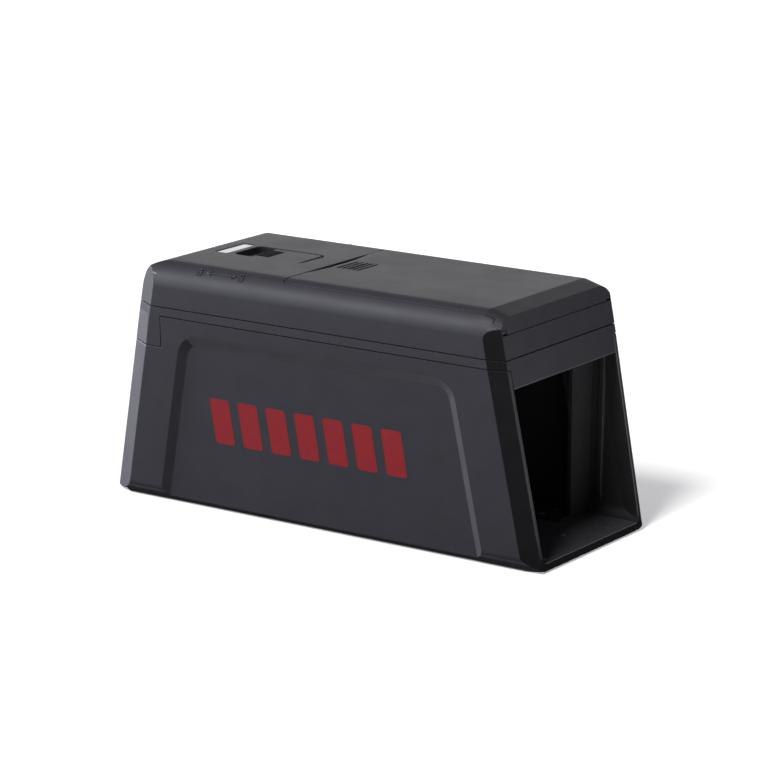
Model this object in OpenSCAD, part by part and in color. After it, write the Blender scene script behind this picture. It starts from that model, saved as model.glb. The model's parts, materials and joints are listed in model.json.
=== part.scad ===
// Tunnel-type electronic mouse trap, in millimetres.
// +X is the open end, +Z is up, and the origin is on the ground under the middle of the shell.

/* [Shell] */
// Length of the shell at the ground
length = 230.6; // [222:0.2:240]
// Width of the shell at and above the lower seam
width = 90.8; // [90:0.2:96]
// How far each side leans in from the lower seam down to the ground
side_lean = 2.3; // [0.4:0.1:2.6]
// Height of the whole trap
height = 108.7; // [107:0.1:116]
// Lean of the front face, in mm for each mm of height
front_rake = 0.197; // [0.17:0.001:0.21]
// Lean of the rear face, in mm for each mm of height
rear_rake = 0.186; // [0.15:0.001:0.2]
// Thickness of every shell wall
wall = 2.2; // [1.8:0.1:2.4]
// Thickness of the tunnel's floor
floor_thickness = 3; // [2.8:0.1:3.4]
// How far the feet hold the shell above the ground
foot_drop = 0.8; // [0.5:0.1:1.5]
// Height of the cap above the upper seam
cap_height = 19.5; // [19:0.1:21]
// Height of the band between the two seams
band_height = 4.1; // [3:0.1:5]
// Width of an open seam line
seam = 0.3; // [0.2:0.05:0.5]

/* [Edges and corners] */
// Length and width of the front corner facets
front_facet = [8.4, 2.5];
// Length and width of the rear corner facets
rear_facet = [11.5, 7.5];
// Radius of the shoulders along both sides of the top
shoulder_r = 10.6; // [8:0.1:11]
// Radius of the rear top edge
rear_top_r = 16; // [12:0.5:18]
// Radius of the long bottom edges
bottom_r = 6; // [4:0.5:7]
// Radius between the tunnel's floor and its walls
fillet_r = 6; // [4:0.5:7]
// Length of the sloped nose, measured along the top
nose_length = 8; // [6:0.5:10]
// Angle of the sloped nose
nose_angle = 15.8; // [10:0.1:20]

/* [Side panels] */
// Depth of the sunken panel in each side
panel_depth = 2; // [1:0.1:2.4]
// Width of the panel's sloped border
panel_border = 4; // [2:0.5:6]
// Distance from the lower seam down to the panel
panel_drop = 7.1; // [5:0.1:15]
// Distance from the shell's ends to the panel, at the ground
panel_margin = [29.7, 27.6];
// Radius of the panel's upper corners
panel_corner_r = 11; // [6:0.5:14]

/* [Mouth] */
// Distance from the lower seam down to the lintel's lower edge
lintel_drop = 8.3; // [5:0.1:15]
// Distance from the mouth to the front diverter, at the ground
front_diverter_depth = 27.9; // [25:0.1:31]
// Distance from the mouth to the rear diverter, at the ground
rear_diverter_depth = 53.5; // [50:0.1:54]
// Reach of each diverter across the tunnel, from the shell's centre line
diverter_edge_y = [25.6, 14];
// Thickness of the diverters
diverter_thickness = 1.8; // [1.4:0.1:2.5]
// Distance from the lower seam down to the diverters' upper edge
diverter_drop = 5.1; // [4:0.1:25]

/* [Lid] */
// Distance from the shell's sides to the lid's
lid_margin = 5.1; // [4.4:0.1:6.4]
// Distance from the shell's rear end at the ground to the lid's rear edge
lid_setback = 97.1; // [95.4:0.1:98.2]
// Radius of the lid's rear corners, seen from above
lid_corner_r = 1.8; // [1:0.1:4]
// Depth and half width of the finger notch in the lid's rear edge
finger_notch = [2.4, 24];
// Number of vent slots
vent_count = 5; // [3:1:6]
// Spacing of the vent slots
vent_pitch = 2.6; // [2.2:0.1:3]
// Width and length of one vent slot
vent_slot = [1.3, 15.8];
// Distance from the top down to the hinge axis in the nose
hinge_drop = 8.1; // [7.8:0.1:9.2]
// Radius of the lid's hinge knuckle
knuckle_r = 1.5; // [1.3:0.05:1.6]
// Distance from the lid's sides to the ends of its hinge knuckle
knuckle_inset = 1.2; // [0.8:0.1:5]
// Radius of the hinge pins
hinge_pin_r = 0.6; // [0.4:0.05:0.7]
// Distance from the shell's sides to those of the lid's nose
nose_margin = 3.2; // [3:0.1:3.9]

/* [Lock] */
// Length of the well in the deck
well_length = 37.1; // [36:0.1:39]
// Width of the well in the deck
well_width = 20.4; // [18:0.2:22]
// Depth of the well
well_depth = 3; // [2.5:0.1:3.5]
// Length of the sliding plate
slider_length = 25.6; // [24:0.1:26]
// Travel of the sliding plate from unlocked to locked
lock_travel = 8; // [6:0.5:8]
// Gap in front of the sliding plate when it is unlocked
slider_front_gap = 2; // [1:0.1:2.5]
// Gap along each side of the sliding plate
slider_side_gap = 0.2; // [0.1:0.05:0.4]
// Length and width of the ribbed grip
grip_size = [7, 13.2];
// Number of ribs on the grip
grip_ribs = 5; // [3:1:6]
// Thickness of the hook frame under the deck
hook_thickness = 2; // [1.5:0.1:2.2]
// Distance from the centre line to the middle of each lid hook
hook_y = 16; // [14:0.5:17]

/* [Light] */
// Length and width of the light window
window_size = [6.2, 21.4];
// Distance from the well to the light window
window_gap = 3.4; // [2.5:0.1:6]

/* [Batteries] */
// Diameter of one AA cell
cell_d = 14.5; // [14:0.1:14.5]
// Length of one AA cell with its nub
cell_length = 50.5; // [49:0.1:50.5]
// Number of cells
cell_count = 4; // [4:1:4]
// Room for the contacts at each end of a cell
contact_room = 2.25; // [2:0.05:2.6]
// Thickness of the battery door
door_thickness = 2; // [1.6:0.1:2.2]

/* [Electronics] */
// Length and width of the circuit board
board_size = [54.5, 59];
// Distance from the top down to the circuit board
board_drop = 19.1; // [18.7:0.1:22]
// Thickness of the circuit board
board_thickness = 1.6; // [1:0.1:2]

/* [Chamber] */
// Distance from the lid's rear edge back to the bulkhead
bulkhead_setback = 6.3; // [6:0.1:8]
// Thickness of the bulkhead
bulkhead_thickness = 2; // [1.5:0.1:2.4]
// Width of the floor plates
plate_width = 66; // [60:0.5:68]
// Gaps from the bulkhead to the first plate and from the last one to the rear diverter
plate_margin = [6, 6.9];
// Thickness of the floor plates
plate_thickness = 0.8; // [0.5:0.1:1]
// Gap between two floor plates
plate_spacing = 2.8; // [2:0.1:3]

/* [Fits] */
// Usual clearance between two pieces
gap = 0.3; // [0.2:0.05:0.35]
// Radial clearance of a pin or screw in its hole
pin_fit = 0.08; // [0.04:0.01:0.1]

/* [Hidden] */
far = 200;
arc_steps = 12;
seat = 0.05;

upper_seam_z = height - cap_height;
lower_seam_z = upper_seam_z - band_height;
base_width = width - 2 * side_lean;
side_draft = side_lean / lower_seam_z;
panel_top_z = lower_seam_z - panel_drop;
lintel_z = lower_seam_z - lintel_drop;
diverter_top_z = lower_seam_z - diverter_drop;
hinge_z = height - hinge_drop;
board_z = height - board_drop;
floor_z = foot_drop + floor_thickness;
nose_x = front_x(height) - nose_length;
shoulder_y = width / 2 - shoulder_r;
shoulder_z = height - shoulder_r;

lip_thickness = 1.6;
lip_inset = wall + 0.2;
lip_reach = 3;
apron_z = lower_seam_z - 14;
apron_length = 33;
apron_x = -length / 2 + apron_length;
lintel_thickness = 2.4;
mouth_rib = [2.5, 1.2];
mouth_rib_setback = 19.8;

lid_half = width / 2 - lid_margin;
lid_rear_x = lid_setback - length / 2;
lid_rim_z = shoulder_z + sqrt(pow(shoulder_r - wall, 2) - pow(lid_half - shoulder_y, 2));
hinge_x = front_x(hinge_z) - lean(front_rake, knuckle_r + 0.06);
knuckle_half = lid_half - knuckle_inset;
nose_half = width / 2 - nose_margin;
nose_wing_x = hinge_x - 3.2;
boss_r = knuckle_r - 0.1;
cove_r = knuckle_r + gap;
front_lip_z = hinge_z - 1.6;
lid_lip_z = front_lip_z + seam;
lid_lip_r = sqrt(pow(front_x(lid_lip_z) - hinge_x, 2) + pow(hinge_z - lid_lip_z, 2));
lip_cove_r = lid_lip_r + 0.8 * gap;
notch_r = (pow(finger_notch[1], 2) + pow(finger_notch[0], 2)) / 2 / finger_notch[0];
vent_first_x = lid_rear_x + finger_notch[0] + 3.1;

well_front_x = lid_rear_x - 13;
well_rear_x = well_front_x - well_length;
well_floor_z = height - well_depth;
well_wall = 1.6;
slider_front_x = well_front_x - slider_front_gap;
slider_rear_x = slider_front_x - slider_length;
slider_half = well_width / 2 - slider_side_gap;
slider_top_z = height - 0.25;
slider_bottom_z = well_floor_z + 0.25;
stem_size = [8, 6];
stem_x = slider_rear_x + 8.8;
grip_recess = 1;
hook_top_z = well_floor_z - well_wall - 0.5;
hook_bottom_z = hook_top_z - hook_thickness;
hook_width = 4.6;
arm_width = 2.4;
arm_inner_y = hook_y + hook_width / 2 + 0.3;
frame_rear_x = slider_rear_x + 2.8;
frame_front_x = well_front_x - 0.8;
leg_x = lid_rear_x + 2.7;
leg_thickness = 1.6;
leg_width = 4;
barb_length = 2.9;
barb_top_z = hook_bottom_z - gap;
barb_height = 1.8;
hook_length = 2;
hook_x = leg_x + leg_thickness + 0.4 + lock_travel;

window_front_x = well_rear_x - window_gap;
window_rear_x = window_front_x - window_size[0];
window_top_z = height - 0.35;

ledge_top_z = lid_rim_z - gap;
ledge_bottom_z = ledge_top_z - 2.2;
ledge_y = lid_half - 2.7;
rear_ledge_x = leg_x - 0.7;

bulkhead_front_x = lid_rear_x - bulkhead_setback;
bulkhead_rear_x = bulkhead_front_x - bulkhead_thickness;
bulkhead_top_z = hook_bottom_z - 0.6;

bay_front_x = bulkhead_rear_x - 12;
bay_length = cell_length + 2 * contact_room;
bay_rear_x = bay_front_x - bay_length;
cell_pitch = cell_d + 0.3;
bay_half = cell_count * cell_pitch / 2 + 0.6;
cell_z = floor_z + 0.5 + cell_d / 2;
tray_wall = 1.4;
tray_roof_z = cell_z + cell_d / 2 + gap;
contact_thickness = 0.4;
door_hinge_r = (floor_thickness) / 2;
door_hinge_x = bay_front_x - door_hinge_r - gap;
door_hinge_z = foot_drop + door_hinge_r;
door_pin_r = 0.9;

screw_post_r = 3.6;
screw_column_r = 3.8;
screw_y = bay_half + tray_wall + gap + screw_column_r;
screw_setback = [6, 13.5];
screw_x = [bulkhead_rear_x - screw_setback[0], bay_rear_x + screw_setback[1]];
screw_joint_z = 40;
screw_shank_r = 1.4;
screw_head_r = 2.6;
screw_head_z = 24;

board_front_x = bulkhead_rear_x - 3;
board_rear_x = board_front_x - board_size[0];
board_half = board_size[1] / 2;
board_post_r = 2.8;
board_post_x = [board_front_x - 5, board_rear_x + 5];
board_post_y = board_half - 4;
board_screw_r = 1;
transformer_place = [board_rear_x + 22, -19];
switch_x = frame_front_x - 6;
switch_height = 5;

plate_lift = 1.2;
plate_screw_r = 1.25;
lead_width = 2.4;
flange_thickness = 1.2;
flange_length = 14.6;
front_diverter_x = length / 2 - front_diverter_depth;
rear_diverter_x = length / 2 - rear_diverter_depth;
plate_room = rear_diverter_x - plate_margin[1] - bulkhead_front_x - plate_margin[0];
plate_length = (plate_room - 2 * plate_spacing) / 3;
plate_rear_x = [for (i = [0:2]) bulkhead_front_x + plate_margin[0] + i * (plate_length + plate_spacing)];

foot_r = 5.5;
foot_recess = 1.4;
foot_setback = [19, 14.5];
foot_y = base_width / 2 - 14.1;
foot_places = [[length / 2 - foot_setback[0], foot_y], [foot_setback[1] - length / 2, foot_y]];
rivet_r = 2;
rivet_places = [for (place = [[17.9, 2.9], [7.3, 23.1], [5.7, -32.2]]) [length / 2 - place[0], place[1]]];
flange_rivets = [[12, 4.9], [9.9, -4.1]];

// ---- Faces of the shell ----

// Place of the front and rear faces, and half the width between the lower side faces
function front_x(z) = length / 2 - front_rake * z;
function rear_x(z) = rear_rake * z - length / 2;
function half_y(z) = base_width / 2 + side_draft * z;

// Horizontal size of a thickness t that is measured square to a leaning face
function lean(rake, t) = t * sqrt(1 + rake * rake);

// Points along an arc
function arc(centre, r, from, to, steps = arc_steps) =
  [for (i = [0:steps])
    let (turn = from + (to - from) * i / steps)
    centre + r * [cos(turn), sin(turn)]];

// The same outline on the other side of the centre line, in reverse order
function other_side(points) = [for (i = [len(points) - 1:-1:0]) [-points[i][0], points[i][1]]];

// An outline in X and Z, drawn out across the trap
module across(points) {
  rotate([90, 0, 0]) linear_extrude(2 * far, center = true) polygon(points);
}

// An outline in Y and Z, drawn out along the trap
module along(points) {
  rotate([90, 0, 90]) linear_extrude(2 * far, center = true) polygon(points);
}

// Everything outside one corner facet. end is 1 at the front and -1 at the rear.
module beyond_facet(end, side, inset, draft) {
  facet = end > 0 ? front_facet : rear_facet;
  rake = end > 0 ? front_rake : rear_rake;
  half_at_ground = width / 2 - draft * lower_seam_z;
  normal = [end / facet[0], side / facet[1], rake / facet[0] - draft / facet[1]];
  reach = (length / 2 / facet[0] + half_at_ground / facet[1] - 1) / norm(normal) - inset;
  rotate([0, -atan2(normal[2], norm([normal[0], normal[1]])), atan2(normal[1], normal[0])])
    translate([reach, -far, -far])
      cube([far, 2 * far, 2 * far]);
}

module beyond_facets(inset, draft) {
  for (end = [-1, 1], side = [-1, 1]) beyond_facet(end, side, inset, draft);
}

// The space of the tub, inset on the rear and the sides, with rounded bottom edges.
// front_out moves its front face forward of the shell's own front face.
module tub_space(inset, bottom, top, r, front_out) {
  corner = [half_y(bottom + r) - inset - r, bottom + r];
  right = concat(arc(corner, r, -90, 0), [[half_y(top) - inset, top]]);
  back = lean(rear_rake, inset);
  difference() {
    intersection() {
      across([
        [rear_x(bottom) + back, bottom], [front_x(bottom) + front_out, bottom],
        [front_x(top) + front_out, top], [rear_x(top) + back, top]
      ]);
      along(concat(right, other_side(right)));
    }
    beyond_facets(inset, side_draft);
  }
}

// The space between the seams and just above, where the sides are upright
module band_space(inset, bottom, top) {
  half = width / 2 - inset;
  back = lean(rear_rake, inset);
  front = lean(front_rake, inset);
  difference() {
    intersection() {
      across([
        [rear_x(bottom) + back, bottom], [front_x(bottom) - front, bottom],
        [front_x(top) - front, top], [rear_x(top) + back, top]
      ]);
      along([[-half, bottom], [half, bottom], [half, top], [-half, top]]);
    }
    beyond_facets(inset, 0);
  }
}

// Cross section of the cap: upright sides and round shoulders
function cap_section(inset, bottom) =
  let (right = concat([[width / 2 - inset, bottom]],
                      arc([shoulder_y, shoulder_z], shoulder_r - inset, 0, 90)))
  concat(right, other_side(right));

// Side view of the cap: leaning ends and the round rear top edge
function cap_side_view(inset, bottom) =
  let (z = height - rear_top_r, x = rear_x(z) + lean(rear_rake, rear_top_r))
  concat([[rear_x(bottom) + lean(rear_rake, inset), bottom],
          [front_x(bottom) - lean(front_rake, inset), bottom],
          [front_x(height - inset) - lean(front_rake, inset), height - inset]],
         arc([x, z], rear_top_r - inset, 90, 180 - atan(rear_rake)));

// The space of the whole cap, lid and housing together. Its bottom lies below the round edges.
module cap_space(inset, bottom) {
  difference() {
    intersection() {
      across(cap_side_view(inset, bottom));
      along(cap_section(inset, bottom));
      translate([nose_x, 0, height])
        rotate([0, nose_angle, 0])
          translate([0, 0, -height])
            along(cap_section(inset, 0));
    }
    beyond_facets(inset, 0);
  }
}

// ---- Shared shapes ----

// A block between two corners
module block(low, high) {
  translate(low) cube(high - low);
}

// A block with round upright edges
module soft_block(low, high, r) {
  outline = concat(
    arc([high[0] - r, high[1] - r], r, 0, 90, 6), arc([low[0] + r, high[1] - r], r, 90, 180, 6),
    arc([low[0] + r, low[1] + r], r, 180, 270, 6), arc([high[0] - r, low[1] + r], r, 270, 360, 6)
  );
  translate([0, 0, low[2]]) linear_extrude(high[2] - low[2]) polygon(outline);
}

// An upright round bar
module upright(place, r, bottom, top) {
  translate([place[0], place[1], bottom]) cylinder(r = r, h = top - bottom, $fn = 48);
}

// A round bar along Y between two places
module crossbar(x, z, r, from, to) {
  translate([x, to, z]) rotate([90, 0, 0]) cylinder(r = r, h = to - from, $fn = 48);
}

// Outline of the sunken side panel in X and Z, grown by grow, from the rear up and round to the front
function panel_outline(grow, bottom) =
  let (r = panel_corner_r + grow,
       top = panel_top_z + grow,
       rear = -length / 2 + panel_margin[0] - lean(rear_rake, grow),
       front = length / 2 - panel_margin[1] + lean(front_rake, grow),
       z = top - r,
       rear_centre = [rear + rear_rake * z + lean(rear_rake, r), z],
       front_centre = [front - front_rake * z - lean(front_rake, r), z])
  concat([[rear + rear_rake * bottom, bottom]],
         arc(rear_centre, r, 180 - atan(rear_rake), 90, 8),
         arc(front_centre, r, 90, atan(front_rake), 8),
         [[front - front_rake * bottom, bottom]]);

// A solid between two panel outlines of equal point count, at two depths under the side face
module panel_solid(side, grow, depth, bottom) {
  outer = panel_outline(grow[0], bottom);
  inner = panel_outline(grow[1], bottom);
  count = len(outer);
  points = concat(
    [for (p = outer) [p[0], side * (half_y(p[1]) - depth[0]), p[1]]],
    [for (p = inner) [p[0], side * (half_y(p[1]) - depth[1]), p[1]]]
  );
  walls = [for (i = [0:count - 1]) [i, (i + 1) % count, count + (i + 1) % count, count + i]];
  ends = [[for (i = [count - 1:-1:0]) i], [for (i = [0:count - 1]) count + i]];
  faces = concat(walls, ends);
  polyhedron(points, side > 0 ? faces : [for (f = faces) [for (i = [len(f) - 1:-1:0]) f[i]]]);
}

// The hollow of the sunken panel, and the bulge that it makes inside the wall
module panel_hollow(side) {
  slope = panel_border / panel_depth;
  panel_solid(side, [slope * 0.5, -panel_border], [-0.5, panel_depth], -2);
}

module panel_bulge(side, grow) {
  slope = panel_border / panel_depth;
  offset_out = wall * 0.82 + grow;
  panel_solid(
    side,
    [offset_out + slope * 0.7, offset_out - panel_border],
    [wall - 0.7, wall + panel_depth + grow],
    foot_drop + 0.6
  );
}

// The open inside of the tub
module tunnel_space(clearance) {
  difference() {
    tub_space(wall + clearance, floor_z + clearance, lower_seam_z + 1, fillet_r, 1);
    for (side = [-1, 1]) panel_bulge(side, clearance);
  }
}

// ---- Shells ----

module screw_places() {
  for (x = screw_x, side = [-1, 1]) translate([x, side * screw_y, 0]) children();
}

module foot_sites() {
  for (p = foot_places, side = [-1, 1]) translate([p[0], side * p[1], 0]) children();
}

module plate_screw_sites() {
  for (x = plate_rear_x, end = [4, plate_length - 4], side = [-1, 1])
    translate([x + end, side * (plate_width / 2 - 4), 0]) children();
}

module rivet_sites() {
  for (p = rivet_places) translate([p[0], p[1], floor_z]) children();
  for (p = flange_rivets) {
    translate([front_diverter_x - p[0], diverter_edge_y[0] - p[1], floor_z + gap + flange_thickness])
      children();
    translate([rear_diverter_x + p[0], p[1] - diverter_edge_y[1], floor_z + gap + flange_thickness])
      children();
  }
}

// Bosses, columns and ribs that stand inside the tub
module tub_fittings() {
  screw_places() upright([0, 0], screw_column_r, foot_drop + 0.5, screw_joint_z);
  plate_screw_sites() upright([0, 0], 3, foot_drop + 0.5, floor_z + plate_lift);
  for (side = [-1, 1])
    intersection() {
      block([length / 2 - mouth_rib_setback - mouth_rib[0] - 1.8, -far, floor_z - 0.5],
            [length / 2 - mouth_rib_setback - 1.8, far, lower_seam_z - lip_reach - 1.8]);
      difference() {
        tub_space(wall - 0.8, floor_z - 0.8, lower_seam_z, fillet_r, 0);
        tub_space(wall + mouth_rib[1], floor_z - 1, lower_seam_z + 1, fillet_r, 2);
      }
    }
}

module base_shell() {
  color("#2b2d31")
    difference() {
      union() {
        difference() {
          tub_space(0, foot_drop, lower_seam_z - seam, bottom_r, 0);
          tunnel_space(0);
          for (side = [-1, 1]) panel_hollow(side);
        }
        tub_fittings();
      }
      // The rear apron of the frame sits in this cut-out.
      block([-far, -far, apron_z - seam], [apron_x + seam, far, far]);
      // Battery opening
      block([bay_rear_x, -bay_half, -1], [bay_front_x, bay_half, floor_z + 1]);
      crossbar(door_hinge_x, door_hinge_z, door_pin_r + pin_fit, -bay_half - 2, bay_half + 2);
      upright([bay_rear_x, 0], 8, 0, foot_drop + 1);
      foot_sites() upright([0, 0], foot_r + 0.1, 0, foot_drop + foot_recess);
      screw_places() {
        upright([0, 0], screw_head_r + gap, 0, screw_head_z + 2);
        upright([0, 0], screw_shank_r + pin_fit, 0, screw_joint_z + 1);
      }
      plate_screw_sites() upright([0, 0], plate_screw_r + pin_fit, foot_drop + 0.8, far);
      rivet_sites() upright([0, 0], rivet_r / 2 + pin_fit, -3.2, 1);
    }
}

module mid_frame() {
  color("#2e3034")
    union() {
      // Band between the seams
      difference() {
        band_space(0, lower_seam_z, upper_seam_z - seam);
        band_space(wall, lower_seam_z - 1, upper_seam_z);
      }
      // Inner lip, which stands behind both seams
      difference() {
        band_space(lip_inset - 0.3, lower_seam_z + 0.5, upper_seam_z - seam - 0.5);
        band_space(lip_inset + lip_thickness, lower_seam_z, upper_seam_z);
      }
      difference() {
        band_space(lip_inset, lower_seam_z, upper_seam_z + lip_reach);
        band_space(lip_inset + lip_thickness, lower_seam_z - 1, upper_seam_z + lip_reach + 1);
      }
      difference() {
        intersection() {
          tub_space(lip_inset, lower_seam_z - 20, lower_seam_z, 1, -lean(front_rake, lip_inset));
          union() {
            block([-far, -far, lower_seam_z - lip_reach], [far, far, far]);
            block([-far, -far, apron_z - lip_reach], [apron_x + lip_reach, far, far]);
          }
        }
        tub_space(lip_inset + lip_thickness, 0, lower_seam_z + 1, 1,
                  -lean(front_rake, lip_inset + lip_thickness));
      }
      // Rear apron
      difference() {
        tub_space(0, foot_drop, lower_seam_z, bottom_r, 0);
        tub_space(lip_inset + 0.2, 0, lower_seam_z + 1, 1, 2);
        block([-far, -far, -1], [far, far, apron_z]);
        block([apron_x, -far, -1], [far, far, far]);
      }
      // Lintel over the mouth
      intersection() {
        tub_space(wall + gap, lintel_z, lower_seam_z, 0.8, 0);
        across([
          [front_x(0) - lintel_thickness, 0], [front_x(0) + 1, 0],
          [front_x(height) + 1, height], [front_x(height) - lintel_thickness, height]
        ]);
      }
    }
}

// ---- Cap ----

// Outline of the lid seen from above, grown by a clearance
function lid_plan(grow) =
  let (r = lid_corner_r + grow,
       rear = lid_rear_x - grow,
       half = lid_half + grow,
       wing_x = nose_wing_x - grow,
       wing = nose_half + grow)
  concat([[far, -wing], [far, wing], [wing_x, wing], [wing_x, half]],
         arc([rear + r, half - r], r, 90, 180, 6),
         arc([rear + r, r - half], r, 180, 270, 6),
         [[wing_x, -half], [wing_x, -wing]]);

// The space over the housing that the lid and its clearance take up
module lid_space(grow) {
  translate([0, 0, lid_rim_z - grow]) linear_extrude(height) polygon(lid_plan(grow));
  block([nose_wing_x - grow, -nose_half - grow, hinge_z + 0.4 - grow], [far, nose_half + grow, height + 5]);
}

module hinge_bar(r, half) {
  crossbar(hinge_x, hinge_z, r, -half, half);
}

// The two hinge bosses on the housing, beyond the ends of the lid's knuckle
module hinge_bosses(r, from) {
  for (side = [-1, 1])
    crossbar(hinge_x, hinge_z, r, side > 0 ? from : -nose_half - 0.8, side > 0 ? nose_half + 0.8 : -from);
}

module well_tub() {
  block([well_rear_x - well_wall, -well_width / 2 - well_wall, well_floor_z - well_wall],
        [well_front_x + well_wall, well_width / 2 + well_wall, height - 0.5]);
}

// Shelves inside the housing on which the lid rests
module lid_ledges() {
  for (side = [-1, 1])
    mirror([0, side < 0 ? 1 : 0, 0])
      block([rear_ledge_x - 4, ledge_y, ledge_bottom_z], [nose_wing_x - 0.6, width / 2, ledge_top_z]);
  block([rear_ledge_x - 4.3, -ledge_y - 1, ledge_bottom_z], [rear_ledge_x, ledge_y + 1, ledge_top_z]);
  block([rear_ledge_x - 4.3, -ledge_y - 1, ledge_bottom_z], [lid_rear_x - gap, ledge_y + 1, height - 0.5]);
}

module upper_housing() {
  color("#303236")
    difference() {
      union() {
        difference() {
          cap_space(0, upper_seam_z);
          cap_space(wall, upper_seam_z - 1);
          lid_space(gap);
          block([nose_wing_x - gap, -nose_half - gap, front_lip_z], [far, nose_half + gap, far]);
          hinge_bar(lip_cove_r, knuckle_half + gap);
        }
        intersection() {
          cap_space(1, screw_joint_z - 5);
          union() {
            well_tub();
            lid_ledges();
            for (x = screw_x, side = [-1, 1])
              upright([x, side * screw_y], screw_post_r, screw_joint_z + gap, height);
            for (x = board_post_x, side = [-1, 1])
              upright([x, side * board_post_y], board_post_r, board_z + seat, height);
          }
        }
        hinge_bosses(boss_r, knuckle_half + gap);
      }
      difference() {
        hinge_bar(cove_r, nose_half + gap);
        hinge_bosses(boss_r, knuckle_half + gap);
      }
      hinge_bosses(hinge_pin_r + pin_fit / 2, knuckle_half - 1);
      // Well for the sliding plate, with its slot
      soft_block([well_rear_x, -well_width / 2, well_floor_z], [well_front_x, well_width / 2, far], 3);
      block([stem_x - lock_travel - gap, -stem_size[1] / 2 - gap, well_floor_z - well_wall - 1],
            [stem_x + stem_size[0] + gap, stem_size[1] / 2 + gap, height]);
      // Light window
      soft_block([window_rear_x - 0.15, -window_size[1] / 2 - 0.15, well_floor_z - 5],
                 [window_front_x + 0.15, window_size[1] / 2 + 0.15, far], 0.8);
      // Ways for the two hook arms through the rear ledge
      for (side = [-1, 1])
        mirror([0, side < 0 ? 1 : 0, 0])
          block([rear_ledge_x - 5, arm_inner_y - 0.4, hook_bottom_z - 1],
                [rear_ledge_x + 1, arm_inner_y + arm_width + 0.4, hook_top_z + 0.4]);
      for (x = screw_x, side = [-1, 1])
        upright([x, side * screw_y], screw_shank_r + pin_fit, screw_joint_z, screw_joint_z + 12);
      for (x = board_post_x, side = [-1, 1])
        upright([x, side * board_post_y], board_screw_r + pin_fit, board_z - 1, board_z + 8);
    }
}

module lid() {
  wing_bottom_z = hinge_z + 0.25;
  color("#34363a")
    difference() {
      union() {
        difference() {
          cap_space(0, upper_seam_z);
          cap_space(wall, upper_seam_z - 1);
          // All that lies outside the lid's outline, below its rim and round the hinge bosses
          linear_extrude(height + 5)
            difference() {
              square(4 * far, center = true);
              polygon(lid_plan(0));
            }
          block([-far, -far, 0], [nose_wing_x, far, lid_rim_z]);
          block([-far, -far, 0], [far, far, lid_lip_z]);
          for (side = [-1, 1])
            mirror([0, side < 0 ? 1 : 0, 0]) {
              block([-far, knuckle_half, 0], [far, far, wing_bottom_z]);
              crossbar(hinge_x, hinge_z, boss_r + gap, knuckle_half, far);
            }
        }
        hinge_bar(knuckle_r, knuckle_half);
        // Two legs with barbs, which the hooks of the lock hold down
        for (side = [-1, 1]) {
          block([leg_x, side * hook_y - leg_width / 2, barb_top_z - barb_height],
                [leg_x + leg_thickness, side * hook_y + leg_width / 2, height - wall / 2]);
          block([leg_x, side * hook_y - leg_width / 2, barb_top_z - barb_height],
                [leg_x + leg_thickness + barb_length, side * hook_y + leg_width / 2, barb_top_z]);
        }
      }
      hinge_bar(hinge_pin_r + pin_fit, knuckle_half + 1);
      translate([lid_rear_x + finger_notch[0] - notch_r, 0, lid_rim_z - 1])
        cylinder(r = notch_r, h = 20, $fn = 360);
      for (i = [0:vent_count - 1])
        translate([vent_first_x + i * vent_pitch, 0, 0])
          soft_block([-vent_slot[0] / 2, -vent_slot[1] / 2, height - wall - 1],
                     [vent_slot[0] / 2, vent_slot[1] / 2, height + 5], vent_slot[0] / 2 - 0.05);
    }
}

module hinge_pins() {
  color("silver")
    for (side = [-1, 1])
      crossbar(hinge_x, hinge_z, hinge_pin_r, side > 0 ? knuckle_half - 8 : -nose_half - 0.5,
               side > 0 ? nose_half + 0.5 : 8 - knuckle_half);
}

// ---- Lock ----

module lock_slider() {
  color("#3a3c40")
    difference() {
      union() {
        soft_block([slider_rear_x, -slider_half, slider_bottom_z],
                   [slider_front_x, slider_half, slider_top_z], 2.5);
        block([stem_x, -stem_size[1] / 2, hook_top_z + seat],
              [stem_x + stem_size[0], stem_size[1] / 2, slider_top_z - grip_recess]);
      }
      block([slider_rear_x - 1, -grip_size[1] / 2, slider_top_z - grip_recess],
            [slider_rear_x + grip_size[0] + gap, grip_size[1] / 2, slider_top_z + 1]);
      for (end = [2, stem_size[0] - 2])
        upright([stem_x + end, 0], 0.8 + pin_fit, hook_top_z - 1, slider_bottom_z + 0.5);
    }
}

module slider_grip() {
  pitch = (grip_size[0] - 1) / grip_ribs;
  color("#17181a")
    union() {
      block([slider_rear_x + 0.1, -grip_size[1] / 2 + 0.1, slider_top_z - grip_recess + seat],
            [slider_rear_x + grip_size[0], grip_size[1] / 2 - 0.1, slider_top_z - 0.4]);
      for (i = [0:grip_ribs - 1])
        block([slider_rear_x + 0.6 + i * pitch, -grip_size[1] / 2 + 0.5, slider_top_z - 0.6],
              [slider_rear_x + 0.6 + i * pitch + pitch * 0.5, grip_size[1] / 2 - 0.5, slider_top_z + 0.15]);
    }
}

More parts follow.
